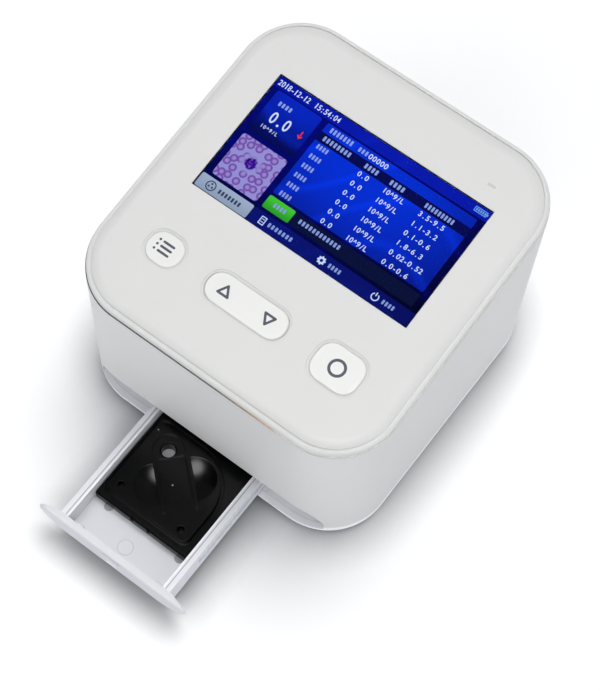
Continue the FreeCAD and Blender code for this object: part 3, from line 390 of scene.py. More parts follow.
@dataclass(frozen=True)
class TwoTone:
    """One plastic or metal with a block of another in it."""

    name: str
    tone: Rgb
    block_tone: Rgb
    low: Rgb
    high: Rgb
    metal: float = 0.0
    block_metal: float = 0.0
    roughness: float = 0.35

    def material(self) -> bpy.types.Material:
        """Build the material."""
        graph = Graph(self.name)
        block = graph.inside(self.low, self.high)
        grain = graph.noise(0.5)
        return graph.surface({
            "Base Color": graph.mix(block, self.tone, self.block_tone),
            "Metallic": self.metal + block * (self.block_metal - self.metal),
            "Roughness": self.roughness + grain * 0.1, "Normal": graph.bump(grain, 0.004, 0.1),
        })


@dataclass(frozen=True)
class PaintedReflectionStrip:
    """Trim strip that turns from dark to bronze and then to a pale tone towards the right: painted shade and painted
    reflection along it.
    """

    name: str
    left: Rgb
    middle: Rgb
    right: Rgb
    spans: tuple[Point, Point]

    def material(self) -> bpy.types.Material:
        """Build the material."""
        graph = Graph(self.name)
        across = graph.axes()[0]
        first, second = (across.fade(*span) for span in self.spans)
        # Painted shade and reflection: the colour changes along the strip, across the object.
        colour = graph.mix(second, graph.mix(first, self.left, self.middle), self.right)
        lines = graph.noise(2.0, 2.0, (1.0, 1.0, 12.0))
        return graph.surface({
            "Base Color": colour, "Metallic": 0.2 - second * 0.2,
            "Roughness": 0.32 + lines * 0.12, "Normal": graph.bump(lines, 0.002, 0.05),
        })


@dataclass(frozen=True)
class Clear:
    """Clear plastic with a weak reflection."""

    name: str
    tone: Rgb = (0.97, 0.98, 1.0)
    index: float = 1.22
    roughness: float = 0.03

    def material(self) -> bpy.types.Material:
        """Build the material."""
        graph = Graph(self.name)
        smears = graph.noise(16.0)
        return graph.surface({
            "Base Color": self.tone, "Transmission Weight": 1.0, "IOR": self.index,
            "Roughness": self.roughness * 0.5 + smears * self.roughness,
        })


@dataclass(frozen=True)
class Glow:
    """Lit picture area whose colour runs from its top to its bottom edge."""

    name: str
    top: Rgb
    low: Rgb
    span: Point = (-13.0, 41.0)

    def material(self) -> bpy.types.Material:
        """Build the material."""
        graph = Graph(self.name)
        rise = graph.axes()[1].fade(*self.span)
        dots = graph.noise(0.5) * 0.06
        colour = graph.mix(rise, self.low, self.top)
        colour = graph.mix(dots, colour, (0.0, 0.0, 0.0))
        return graph.surface({
            "Base Color": (0.0, 0.0, 0.0), "Roughness": 0.6, "Specular IOR Level": 0.0,
            "Emission Color": colour, "Emission Strength": 1.0,
        })


@dataclass(frozen=True)
class Swirl:
    """Lit blue picture area with broad soft curves of light."""

    name: str
    bright: Rgb
    deep: Rgb
    centre: Point
    reach: float

    def material(self) -> bpy.types.Material:
        """Build the material."""
        graph = Graph(self.name)
        x, s, _ = graph.axes()
        dx = x - self.centre[0]
        ds = s - self.centre[1]
        distance = (dx * dx * 0.35 + ds * ds).math("SQRT", dx * dx * 0.35 + ds * ds)
        light = distance.fade(self.reach, self.reach * 0.1)
        curve = x * 0.06 + (x * 0.07).math("SINE", x * 0.07) * 2.2 - s * 0.16
        sweep = abs((curve + 0.9).math("SINE", curve + 0.9))
        share = light * 0.75 + sweep.fade(0.55, 0.0) * 0.25
        colour = graph.mix(share, self.deep, self.bright)
        return graph.surface({
            "Base Color": (0.0, 0.0, 0.0), "Roughness": 0.6, "Specular IOR Level": 0.0,
            "Emission Color": colour, "Emission Strength": 1.0,
        })


@dataclass(frozen=True)
class CellPicture:
    """Lit microscope picture: pale ground, ring-shaped cells and one dark nucleus."""

    name: str
    ground: Rgb
    rim: Rgb
    middle: Rgb
    nucleus: Rgb
    nucleus_place: Point
    nucleus_radius: float
    pitch: float

    def material(self) -> bpy.types.Material:
        """Build the material."""
        graph = Graph(self.name)
        x, s, _ = graph.axes()
        settings = {"voronoi_dimensions": "2D", "feature": "F1"}
        inputs = {"Vector": graph.place(), "Scale": 1 / (self.pitch * MM), "Randomness": 0.62}
        cell = graph.add("ShaderNodeTexVoronoi", settings, inputs)
        inner = cell.fade(0.47, 0.40)
        rim = inner * cell.fade(0.10, 0.36)
        colour = graph.mix(inner, self.ground, self.middle)
        colour = graph.mix(rim, colour, self.rim)
        dx = x - self.nucleus_place[0]
        ds = s - self.nucleus_place[1]
        ragged = graph.noise(0.9, 2.0)
        distance = (dx * dx + ds * ds).math("SQRT", dx * dx + ds * ds) + (ragged - 0.5) * 1.5
        dark = distance.fade(self.nucleus_radius, self.nucleus_radius * 0.75)
        halo = distance.fade(self.nucleus_radius * 1.8, self.nucleus_radius * 1.3)
        colour = graph.mix(halo * 0.7, colour, self.ground)
        speck = graph.mix(ragged.fade(0.62, 0.5), self.rim, self.nucleus)
        colour = graph.mix(dark, colour, speck)
        return graph.surface({
            "Base Color": (0.0, 0.0, 0.0), "Roughness": 0.6, "Specular IOR Level": 0.0,
            "Emission Color": colour, "Emission Strength": 1.0,
        })


# Meshes


class Face:
    """The housing's sloped face: places on it are across, up the slope and out of it."""

    def __init__(self, height: float = 92.0, tilt: float = 7.9) -> None:
        """Set the face's frame from its height over the base and its slope.

        Args:
            height: Height of its middle in millimetres.
            tilt: Slope in degrees.
        """
        low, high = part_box("outer_shell")
        middle = Vector(((low.x + high.x) / 2, (low.y + high.y) / 2, height * MM))
        self.matrix = Matrix.Translation(middle) @ Matrix.Rotation(math.radians(tilt), 4, "X")

    def level(self, y: float, depth: float) -> float:
        """Height of a plane at a depth under the face, in millimetres."""
        middle = self.matrix.translation / MM
        normal = self.matrix.col[2]
        return middle.z - ((y - middle.y) * normal.y + depth) / normal.z

    def front_of(self, node: str) -> float:
        """Height of a node's front over the face, in millimetres."""
        inverse = self.matrix.inverted()
        return max((inverse @ vertex.co).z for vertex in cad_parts[node].data.vertices) / MM


class Sketch:
    """Shapes of one finish, drawn in millimetres and closed all round."""

    def __init__(self, low: float = 0.0, high: float = 1.0) -> None:
        """Start a sketch whose plates reach from one height to another."""
        self.mesh = bmesh.new()
        self.low = low
        self.high = high

    def ring_of(self, loop: Sequence[Point], height: float) -> list[bmesh.types.BMVert]:
        """Corner points of a loop at a height."""
        return [self.mesh.verts.new((x, y, height)) for x, y in loop]

    def wall(self, lower: list[bmesh.types.BMVert], upper: list[bmesh.types.BMVert]) -> None:
        """Faces between two loops with the same number of points."""
        for index in range(len(lower)):
            after = (index + 1) % len(lower)
            self.mesh.faces.new((lower[index], lower[after], upper[after], upper[index]))

    def plate(self, loop: Sequence[Point]) -> None:
        """Plate with the outline of a loop."""
        lower = self.ring_of(loop, self.low)
        upper = self.ring_of(loop, self.high)
        self.wall(lower, upper)
        self.mesh.faces.new(upper)
        self.mesh.faces.new(lower[::-1])

    def band(self, outer: Sequence[Point], inner: Sequence[Point]) -> None:
        """Plate between an outer and an inner loop."""
        loops = [self.ring_of(outer, self.low), self.ring_of(outer, self.high)]
        loops += [self.ring_of(inner, self.high), self.ring_of(inner, self.low)]
        for index in range(4):
            self.wall(loops[index], loops[(index + 1) % 4])

    def bar(self, start: Point, end: Point, width: float) -> None:
        """Bar with round ends."""
        self.plate(outline([start, end], 0.0, width / 2, 8))

    def block(self, left: float, right: float, low: float, high: float, radius: float = 0.0) -> None:
        """Rectangular plate, with rounded corners if a radius is given."""
        points = corners(left, right, low, high)
        self.plate(outline(points, radius, radius) if radius else points)

    def dot(self, centre: Point, radius: float) -> None:
        """Round plate."""
        self.plate(circle(centre, radius))

    def ring(self, centre: Point, outer: float, stroke: float) -> None:
        """Round band."""
        self.band(circle(centre, outer, 48), circle(centre, outer - stroke, 48))

    def frame(self, points: Sequence[Point], stroke: float, soft: float = 0.15) -> None:
        """Outline of a convex shape as a band with softened corners."""
        self.band(outline(points, 0.0, stroke / 2), outline(points, stroke / 2 + soft, soft))

    def text(self, words: str, left: float, right: float, base: float, height: float) -> None:
        """Number whose signs stand in cells of one width.

        Args:
            words: Digits and signs.
            left: Where it begins.
            right: Where it ends.
            base: Its base line.
            height: Height of its digits.
        """
        pitch = (right - left) / len(words)
        for index, sign in enumerate(words):
            self.sign(sign, left + pitch * (index + 0.5), pitch * 0.82, base, height)

    def sign(self, sign: str, centre: float, width: float, base: float, height: float) -> None:
        """One digit or sign, narrowed to its cell."""
        curve = bpy.data.curves.new("digits", "FONT")
        curve.body = sign
        curve.extrude = 0.5
        curve.offset = 0.013
        holder = bpy.data.objects.new("digits", curve)
        bpy.context.scene.collection.objects.link(holder)
        bpy.context.view_layer.update()
        shape = bpy.data.meshes.new_from_object(holder.evaluated_get(bpy.context.evaluated_depsgraph_get()))
        bpy.data.objects.remove(holder)
        bpy.data.curves.remove(curve)
        xs = [vertex.co.x for vertex in shape.vertices]
        cap = 0.729
        scale = min(height / cap, width / (max(xs) - min(xs)))
        start = centre - (max(xs) + min(xs)) / 2 * scale
        middle = (self.low + self.high) / 2
        for vertex in shape.vertices:
            x, y, z = vertex.co
            vertex.co = (start + x * scale, base + y * height / cap, middle + z * (self.high - self.low))
        self.mesh.from_mesh(shape)
        bpy.data.meshes.remove(shape)

    def revolve(self, profile: Sequence[Point], centre: Rgb = (0.0, 0.0, 0.0), steps: int = 24) -> None:
        """Turned body from radius and height pairs, closed at both ends on its axis.

        Args:
            profile: Radius and height of each ring, from the lower to the upper end.
            centre: Place of its axis.
            steps: Parts round it.
        """
        rings = []
        for radius, height in profile:
            loop = circle((centre[0], centre[1]), radius, steps)
            rings.append(self.ring_of(loop, centre[2] + height))
        for lower, upper in zip(rings, rings[1:]):
            self.wall(lower, upper)
        self.mesh.faces.new(rings[-1])
        self.mesh.faces.new(rings[0][::-1])

    def piece(self, name: str, finish: bpy.types.Material, body: str, slot: str,
              place: Matrix | None = None, smooth: bool = False) -> bpy.types.Object:
        """Turn the sketch into a piece that rides on a body.

        Args:
            name: Name of the piece.
            finish: Its material.
            body: The body that it moves with.
            slot: Not used.
            place: Where its own frame lies.
            smooth: Whether its curved faces are shaded round.

        Returns:
            The piece.
        """
        bmesh.ops.remove_doubles(self.mesh, verts=self.mesh.verts, dist=1e-5)
        bmesh.ops.dissolve_degenerate(self.mesh, edges=self.mesh.edges, dist=1e-6)
        bmesh.ops.recalc_face_normals(self.mesh, faces=self.mesh.faces)
        bmesh.ops.scale(self.mesh, vec=(MM, MM, MM), verts=self.mesh.verts)
        data = bpy.data.meshes.new(name)
        self.mesh.to_mesh(data)
        self.mesh.free()
        if smooth:
            data.shade_smooth()
            data.set_sharp_from_angle(angle=math.radians(35))
        data.materials.append(finish)
        made = bpy.data.objects.new(name, data)
        bpy.context.scene.collection.objects.link(made)
        made.matrix_world = place or Matrix.Identity(4)
        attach(made, body)
        log.info("piece %s: %d faces, rides on %s", name, len(data.polygons), body)
        return made


# Sub-assemblies


class Paint(Enum):
    """Colours of the lit picture, named by what they fill."""

    BAND = ((7, 12, 84), (5, 9, 62))
    ROW = ((9, 18, 70), (10, 18, 56))
    TAB = ((160, 176, 202), (146, 162, 188))
    BUTTON = ((70, 200, 55), (42, 162, 38))
    PALE = ((212, 226, 255), (204, 220, 250))
    WORD = ((140, 164, 232), (134, 156, 222))
    SOFT = ((110, 165, 240), (100, 150, 230))
    RED = ((240, 60, 40), (225, 45, 30))
    INK = ((56, 66, 96), (56, 66, 96))

    def finish(self, span: Point = (-13.0, 41.0)) -> bpy.types.Material:
        """Material of this colour over a span up the slope."""
        top, low = (seen(*tone) for tone in self.value)
        return Glow("lit_" + self.name.lower(), top, low, span).material()


@dataclass
class Display:
    """Lit picture behind the window, drawn from the screen's upper left corner."""

    face: Face
    left: float = -47.3
    top: float = 40.95
    width: float = 95.2
    height: float = 53.5
    layer: float = 0.03
    rows: Sequence[str] = ("3.5-9.5", "1.1-3.2", "0.1-0.6", "1.8-6.3", "0.02-0.52", "0.0-0.6")
    row_base: float = 16.2
    row_pitch: float = 4.52
    bar_pitch: float = 1.5
    front: float = field(init=False)

    def __post_init__(self) -> None:
        """Find the plane that the picture lies on."""
        self.front = self.face.front_of("lcd_panel")

    def sheet(self, level: int) -> Sketch:
        """Sketch for one of the picture's layers."""
        low = self.front + 0.01 + level * self.layer
        return Sketch(low, low + self.layer * 0.6)

    def at(self, u: float, v: float) -> Point:
        """Place on the face of a place on the screen."""
        return self.left + u, self.top - v

    def area(self, sketch: Sketch, u0: float, v0: float, u1: float, v1: float, radius: float = 0.0) -> None:
        """Rectangle on the screen."""
        left, high = self.at(u0, v0)
        right, low = self.at(u1, v1)
        sketch.block(left, right, low, high, radius)

    def word(self, sketch: Sketch, u0: float, v0: float, u1: float, v1: float) -> None:
        """Row of short upright bars in place of a word."""
        count = round((u1 - u0) / self.bar_pitch)
        pitch = (u1 - u0) / count
        for index in range(count):
            middle = u0 + pitch * (index + 0.5)
            self.area(sketch, middle - pitch * 0.3, v0, middle + pitch * 0.3, v1, 0.3)

    def number(self, sketch: Sketch, words: str, u0: float, u1: float, v: float, height: float) -> None:
        """Number on the screen."""
        left, base = self.at(u0, v)
        sketch.text(words, left, left + u1 - u0, base, height)

    def show(self, sketch: Sketch, name: str, finish: bpy.types.Material) -> None:
        """Put a finished layer in its place."""
        sketch.piece(name, finish, "housing", "display_blue", self.face.matrix)

    def build(self) -> None:
        """Build all layers."""
        self.grounds()
        self.panels()
        self.marks()
        self.border()

    def grounds(self) -> None:
        """Lowest layer and the bars at the top and bottom."""
        back = self.sheet(0)
        self.area(back, -0.05, -0.05, self.width + 0.05, self.height + 0.05)
        ground = Swirl("lit_ground", seen(2, 10, 130), seen(2, 3, 14), (-30.0, 42.0), 78.0)
        self.show(back, "picture_ground", ground.material())
        upper = self.sheet(1)
        self.area(upper, 0.0, 0.0, self.width, 4.5)
        upper_light = Swirl("lit_upper", seen(9, 30, 178), seen(2, 10, 146), (10.0, 39.0), 60.0)
        self.show(upper, "picture_upper_bar", upper_light.material())
        lower = self.sheet(1)
        self.area(lower, 24.0, 47.4, self.width, 53.4)
        lower_light = Swirl("lit_lower", seen(10, 22, 118), seen(6, 12, 82), (-15.0, -10.0), 60.0)
        self.show(lower, "picture_lower_bar", lower_light.material())
        tab = self.sheet(1)
        self.area(tab, 0.1, 47.4, 23.6, 53.3, 0.7)
        self.show(tab, "picture_tab", Paint.TAB.finish((-12.5, -6.5)))

    def panels(self) -> None:
        """Result panels, blood picture, button and message row."""
        small = self.sheet(1)
        self.area(small, 2.6, 5.1, 23.1, 24.4, 1.0)
        result = Swirl("lit_result", seen(8, 44, 212), seen(3, 10, 80), (-33.0, 35.0), 19.0)
        self.show(small, "picture_result", result.material())
        main = self.sheet(1)
        self.area(main, 25.7, 5.3, 92.3, 39.3, 0.6)
        swirl = Swirl("lit_swirl", seen(4, 54, 232), seen(6, 16, 112), (3.0, 27.0), 46.0)
        self.show(main, "picture_table", swirl.material())
        cells = self.sheet(1)
        self.area(cells, 2.7, 26.3, 23.0, 46.0, 1.2)
        nucleus = self.at(12.3, 34.95)
        picture = CellPicture(
            "lit_cells", seen(150, 144, 212), seen(112, 76, 168), seen(156, 136, 204), seen(50, 8, 140), nucleus, 2.7, 3.6
        )
        self.show(cells, "picture_cells", picture.material())
        button = self.sheet(1)
        self.area(button, 25.6, 40.5, 37.3, 46.0, 0.7)
        self.show(button, "picture_button", Paint.BUTTON.finish((-5.0, 0.5)))
        row = self.sheet(1)
        self.area(row, 37.7, 40.5, 92.3, 46.0, 0.4)
        self.show(row, "picture_message", Paint.ROW.finish())
        header = self.sheet(2)
        self.area(header, 25.7, 9.45, 92.3, 13.5)
        self.show(header, "picture_header", Paint.BAND.finish())

    def marks(self) -> None:
        """Numbers, bars in place of words, and icons."""
        pale = self.sheet(3)
        self.number(pale, "2018-12-12", 0.8, 15.2, 3.45, 2.4)
        self.number(pale, "15:54:04", 17.4, 29.0, 3.45, 2.4)
        lines = self.sheet(3)
        self.word(lines, 5.8, 8.5, 12.1, 10.4)
        self.number(pale, "0.0", 6.6, 15.5, 17.6, 4.9)
        self.number(pale, "10^9/L", 5.6, 13.6, 21.0, 1.5)
        self.word(lines, 27.9, 6.1, 38.4, 8.3)
        self.word(lines, 40.8, 6.4, 45.3, 8.3)
        self.number(pale, "00000", 45.6, 54.2, 8.4, 2.2)
        for u0, u1 in ((27.7, 40.4), (46.5, 52.8), (57.8, 64.5), (73.4, 86.2)):
            self.word(lines, u0, 10.3, u1, 12.4)
        for index, words in enumerate(self.rows):
            base = self.row_base + index * self.row_pitch
            self.word(lines, 27.6, base - 2.0, 32.9, base)
            self.number(pale, "0.0", 46.3, 51.2, base, 2.1)
            self.number(pale, "10^9/L", 57.6, 66.9, base, 2.1)
            self.number(pale, words, 73.4, 73.4 + 1.62 * len(words), base, 2.1)
        for u0, v0, u1, v1 in ((28.8, 42.2, 34.6, 44.0), (40.0, 41.9, 58.7, 43.8), (31.7, 49.5, 42.9, 51.3),
                               (58.8, 49.5, 64.5, 51.3), (82.4, 49.5, 88.0, 51.3)):
            self.word(lines, u0, v0, u1, v1)
        sheet = [self.at(28.4, 51.9), self.at(30.4, 51.9), self.at(30.4, 48.9), self.at(28.4, 48.9)]
        pale.frame(sheet, 0.35)
        for v in (49.8, 50.9):
            pale.bar(self.at(28.9, v), self.at(29.9, v), 0.3)
        self.gear(pale, self.at(55.9, 50.4), 1.75)
        self.power(pale, self.at(79.6, 50.5), 1.6)
        self.show(pale, "picture_marks", Paint.PALE.finish())
        self.show(lines, "picture_words", Paint.WORD.finish())
        soft = self.sheet(3)
        soft.frame([self.at(88.9, 2.9), self.at(93.9, 2.9), self.at(93.9, 1.1), self.at(88.9, 1.1)], 0.3)
        for index in range(5):
            u = 89.4 + index * 0.9
            self.area(soft, u, 1.5, u + 0.6, 2.5)
        self.area(soft, 94.1, 1.6, 94.5, 2.4)
        self.show(soft, "picture_battery", Paint.SOFT.finish())
        red = self.sheet(3)
        u, v = 20.4, 13.6
        for side in (-1, 1):
            red.bar(self.at(u, v + 3.2), self.at(u + side * 0.85, v + 2.2), 0.45)
        red.bar(self.at(u, v + 3.2), self.at(u, v + 0.3), 0.45)
        self.show(red, "picture_arrow", Paint.RED.finish())
        ink = self.sheet(3)
        ink.ring(self.at(5.8, 50.4), 2.1, 0.45)
        for turn in (90, 210, 330):
            x, s = self.at(5.8, 50.4)
            angle = math.radians(turn)
            ink.dot((x + 0.85 * math.cos(angle), s + 0.85 * math.sin(angle)), 0.42)
        self.word(ink, 9.1, 49.5, 19.4, 51.4)
        self.show(ink, "picture_tab_marks", Paint.INK.finish())

    @staticmethod
    def gear(sketch: Sketch, centre: Point, radius: float, teeth: int = 8) -> None:
        """Toothed ring."""
        steps = teeth * 4
        loop = []
        for index, (x, y) in enumerate(circle((0.0, 0.0), 1.0, steps)):
            reach = radius if index % 4 in (0, 1) else radius * 0.78
            loop.append((centre[0] + x * reach, centre[1] + y * reach))
        sketch.band(loop, circle(centre, radius * 0.36, steps))

    @staticmethod
    def power(sketch: Sketch, centre: Point, radius: float) -> None:
        """Open ring with a bar at its gap."""
        start, end, steps = math.radians(125), math.radians(415), 18
        turns = [start + (end - start) * index / steps for index in range(steps + 1)]
        outer = [(centre[0] + radius * math.cos(a), centre[1] + radius * math.sin(a)) for a in turns]
        inner = [(centre[0] + radius * 0.74 * math.cos(a), centre[1] + radius * 0.74 * math.sin(a)) for a in turns]
        sketch.plate(outer + inner[::-1])
        sketch.bar((centre[0], centre[1] + radius * 0.35), (centre[0], centre[1] + radius * 1.05), 0.42)

    def border(self) -> None:
        """Black print round the window, just inside its lower surface."""
        window = [vertex.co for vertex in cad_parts["display_window"].data.vertices]
        local = [self.face.matrix.inverted() @ corner for corner in window]
        xs = [point.x / MM for point in local]
        ss = [point.y / MM for point in local]
        low = min(point.z for point in local) / MM
        print_ink = Sketch(low + 0.02, low + 0.05)
        skin = 0.02
        outer = corners(min(xs) + skin, max(xs) - skin, min(ss) + skin, max(ss) - skin)
        left, high = self.at(0.0, 0.0)
        right, base = self.at(self.width, self.height)
        print_ink.band(outer, corners(left, right, base, high))
        finish = Moulded("print_black", seen(16, 16, 20), 0.5, edge=0.0, specular=0.2).material()
        print_ink.piece("window_border", finish, "housing", "component_black", self.face.matrix)


@dataclass
class Keys:
    """Marks let into the three keys."""

    face: Face
    row: float = -39.0
    sink: float = 0.05
    rise: float = 0.02
    stroke: float = 0.95

    def build(self) -> None:
        """Build the marks of each key."""
        ink = Moulded("key_ink", seen(58, 62, 72), 0.5, edge=0.0, specular=0.3).material()
        menu = self.sheet("menu_key")
        for s in (-36.75, -38.75, -40.75):
            menu.dot((-43.2, s), 0.5)
            menu.bar((-41.4, s), (-37.1, s), self.stroke)
        menu.piece("menu_mark", ink, "menu_key", "key_plastic", self.face.matrix)
        arrows = self.sheet("nav_key")
        arrows.frame([(-14.3, -40.7), (-9.9, -40.7), (-12.1, -36.9)], self.stroke)
        arrows.frame([(4.6, -37.1), (6.8, -40.9), (9.0, -37.1)], self.stroke)
        arrows.piece("arrow_marks", ink, "nav_key", "key_plastic", self.face.matrix)
        ring = self.sheet("ok_key")
        ring.ring((37.4, -39.0), 3.5, 1.1)
        ring.piece("ok_mark", ink, "ok_key", "key_plastic", self.face.matrix)

    def sheet(self, node: str) -> Sketch:
        """Sketch in a key's top surface."""
        front = self.face.front_of(node)
        return Sketch(front - self.sink, front + self.rise)


@dataclass
class Seams:
    """Pale fillets in the narrow seams round the cover and the keys, paler than the housing: painted light over the
    seams' shade.
    """

    face: Face
    plan_corner: float = 25.5
    bead: Sequence[Point] = ((2.205, 2.6), (2.315, 2.6), (2.315, 1.52), (2.205, 1.66))
    key_corner: float = 6.0
    key_row: float = -39.0
    keys: Sequence[tuple[float, Point, Point]] = (
        (-39.5, (15.0, 12.8), (0.03, 0.03)), (-2.6, (34.8, 12.6), (0.15, 0.03)), (37.6, (19.8, 15.8), (0.03, 0.03))
    )
    seat_margin: float = 0.19

    def build(self) -> None:
        """Build the bead round the cover and the collars round the keys."""
        # Painted light: the fillers are paler than the housing and hide the seams' shade.
        pale = Moulded("seam_painted_light", seen(226, 226, 224), 0.5, edge=0.0, specular=0.2).material()
        low, high = (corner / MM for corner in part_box("outer_shell"))
        sketch = Sketch()
        loops = []
        for inset, depth in self.bead:
            radius = self.plan_corner - inset
            sides = corners(low.x + inset, high.x - inset, low.y + inset, high.y - inset)
            plan = outline(sides, radius, radius, 20)
            loops.append([sketch.mesh.verts.new((x, y, self.face.level(y, depth))) for x, y in plan])
        for index in range(4):
            sketch.wall(loops[index], loops[(index + 1) % 4])
        sketch.piece("cover_bead", pale, "housing", "housing_plastic")
        collars = Sketch(-1.4, -0.38)
        for x, size, margins in self.keys:
            outer = self.key_outline(x, size, (self.seat_margin, self.seat_margin))
            collars.band(outer, self.key_outline(x, size, margins))
        collars.piece("key_collars", pale, "housing", "housing_plastic", self.face.matrix)

    def key_outline(self, x: float, size: Point, margins: Point) -> list[Point]:
        """Outline of a key, moved out by a margin on each axis."""
        half_x = size[0] / 2 + margins[0]
        half_s = size[1] / 2 + margins[1]
        radius = min(self.key_corner + margins[1], half_s - 0.01)
        sides = corners(x - half_x, x + half_x, self.key_row - half_s, self.key_row + half_s)
        return outline(sides, radius, radius, 12)


@dataclass
class Screw:
    """Machine screw with a domed head and a hexagonal socket."""

    head_radius: float
    head_height: float
    shank_radius: float
    shank_length: float
    steps: int = 24

    def add_to(self, sketch: Sketch, seat: Rgb, down: bool = False) -> None:
        """Add one screw to a sketch.

        Args:
            sketch: Where it goes.
            seat: Place of the head's underside on its axis.
            down: Whether the head points down.
        """
        before = set(sketch.mesh.verts)
        r, h = self.head_radius, self.head_height
        socket = r * 0.5
        rings = [(self.shank_radius, -self.shank_length), (self.shank_radius, 0.0), (r, 0.0), (r, h * 0.6)]
        for step in range(1, 5):
            angle = math.radians(18 * step)
            rings.append((socket + (r - socket) * math.cos(angle), h * (0.6 + 0.4 * math.sin(angle))))
        loops = [sketch.ring_of(circle((0.0, 0.0), radius, self.steps), z) for radius, z in rings]
        for z in (h, h * 0.35):
            loops.append(sketch.ring_of(self.hexagon(socket), z))
        for lower, upper in zip(loops, loops[1:]):
            sketch.wall(lower, upper)
        sketch.mesh.faces.new(loops[-1])
        sketch.mesh.faces.new(loops[0][::-1])
        turn = Matrix.Rotation(math.pi, 4, "X") if down else Matrix.Identity(4)
        place = Matrix.Translation(Vector(seat)) @ turn
        for vertex in set(sketch.mesh.verts) - before:
            vertex.co = place @ vertex.co

    def hexagon(self, radius: float) -> list[Point]:
        """Points round a hexagon, as many as round the head."""
        loop = []
        for index in range(self.steps):
            angle = 2 * math.pi * index / self.steps
            part = (angle + math.pi / 6) % (math.pi / 3) - math.pi / 6
            reach = radius * math.cos(math.pi / 6) / math.cos(part)
            loop.append((reach * math.cos(angle), reach * math.sin(angle)))
        return loop


@dataclass
class Fasteners:
    """Screws of the sample holder and of the base, and pale pins on the holder that are painted glints."""

    holder_screw: Screw = field(default_factory=lambda: Screw(1.3, 0.7, 0.8, 3.0))
    base_screw: Screw = field(default_factory=lambda: Screw(2.7, 1.3, 1.4, 6.0))
    holder_places: Sequence[Point] = ((-16.0, 7.9), (13.3, 7.6))
    holder_seat: float = 10.8
    pin_places: Sequence[Rgb] = ((-19.0, 34.2, 13.4), (-0.6, 19.9, 12.2))
    base_seat: float = 3.2
    base_places: Sequence[Point] = ((60.2, -38.0), (54.5, 56.6))

    def build(self) -> None:
        """Build both sets."""
        black = Metal("screw_black", seen(14, 14, 15), 0.4).material()
        steel = Metal("screw_steel", seen(178, 180, 184), 0.3).material()
        holder_low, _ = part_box("cuvette_holder")
        small = Sketch()
        for x, y in self.holder_places:
            self.holder_screw.add_to(small, (x, holder_low.y / MM + y, self.holder_seat))
        small.piece("holder_screws", black, "drawer", "component_black", smooth=True)
        # Painted highlight: small grey pins on the black holder stand in for glints.
        grey = Moulded("pin_painted_glint", seen(120, 120, 122), 0.4, edge=0.0).material()
        pins = Sketch()
        for x, y, z in self.pin_places:
            pins.revolve(((0.32, -0.4), (0.32, 0.02), (0.2, 0.08)), (x, holder_low.y / MM + y, z))
        pins.piece("holder_glint_pins", grey, "drawer", "component_black", smooth=True)
        shell_low, shell_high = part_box("outer_shell")
        middle = (shell_low.y + shell_high.y) / 2 / MM
        large = Sketch()
        for x, y in self.base_places:
            for side in (-1, 1):
                self.base_screw.add_to(large, (side * x, middle + y, self.base_seat), down=True)
        large.piece("base_screws", steel, "housing", "sheet_steel", smooth=True)


@dataclass
class TrayTrim:
    """Painted highlight beads and painted shade lines along the drawer's side walls, and the pale window under the
    light hole.
    """

    inner_half: float = 22.7
    bead_width: float = 0.45
    bead_height: float = 0.1
    line_from: float = 1.12
    line_width: float = 0.36
    line_depth: Point = (0.24, 0.12)
    end_gap: float = 0.3
    window_x: float = -10.8
    window_setback: float = 48.1
    window_radius: float = 3.3
    window_span: Point = (5.5, 6.75)
    nib_half: Point = (2.3, 0.75)
    nib_height: float = 9.3
    nib_rise: float = 0.18
    mark_place: Point = (-0.5, 8.8)
    mark_radii: Point = (2.9, 3.15)
    mark_tops: Point = (6.92, 6.83)
    deck_under: float = 6.5

    def build(self) -> None:
        """Build the highlight beads, the shade lines, the window, the round mark with its shade ring and the nib on
        the front.
        """
        low, high = (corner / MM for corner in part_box("drawer_tray"))
        near, far = low.y + self.end_gap, high.y - self.end_gap
        beads = Sketch(high.z - 0.05, high.z + self.bead_height)
        lines = Sketch(high.z - self.line_depth[0], high.z - self.line_depth[1])
        for side in (-1, 1):
            for sketch, start, width in ((beads, 0.0, self.bead_width), (lines, self.line_from, self.line_width)):
                ends = sorted(side * (self.inner_half + reach) for reach in (start, start + width))
                sketch.block(*ends, near, far)
        # Painted highlight: near-white beads along the walls' inner top edges.
        white = Moulded("bead_painted_highlight", seen(250, 250, 252), 0.35, edge=0.1).material()
        beads.piece("tray_highlight_beads", white, "drawer", "drawer_plastic")
        # Painted shade: grey strips in the grooves along the walls' tops.
        shade = Moulded("groove_painted_shade", seen(168, 170, 182), 0.5, edge=0.0, specular=0.1).material()
        lines.piece("tray_groove_shade", shade, "drawer", "drawer_plastic")
        front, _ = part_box("drawer_front")
        window = Sketch(*self.window_span)
        window.dot((self.window_x, front.y / MM + self.window_setback), self.window_radius)
        pale = Moulded("light_window", seen(246, 246, 250), 0.4, edge=0.0).material()
        window.piece("light_window", pale, "drawer", "window_clear")
        spot = (self.mark_place[0], front.y / MM + self.mark_place[1])
        plain = Moulded("mark_white", seen(230, 231, 235), 0.38, edge=0.0, specular=0.2).material()
        # Painted shade: a grey ring round the pale dot, on the edge of the tray's round dimple.
        ring = Moulded("ring_painted_shade", seen(198, 199, 206), 0.4, edge=0.0, specular=0.2).material()
        for name, look, radius, top in zip(("tray_dot", "tray_ring_shade"), (plain, ring), self.mark_radii, self.mark_tops):
            mark = Sketch(self.deck_under, top)
            mark.dot(spot, radius)
            mark.piece(name, look, "drawer", "drawer_plastic")
        # The nib is pale: a raised mark and painted highlight on the lower lip of the front's slot.
        across, rise = self.nib_half
        nib = Sketch(-0.1, self.nib_rise)
        nib.block(-across, across, -rise, rise, rise - 0.05)
        place = Matrix.Translation((0.0, front.y, self.nib_height * MM)) @ Matrix.Rotation(math.pi / 2, 4, "X")
        nib.piece("plate_nib", white, "drawer", "drawer_plastic", place)


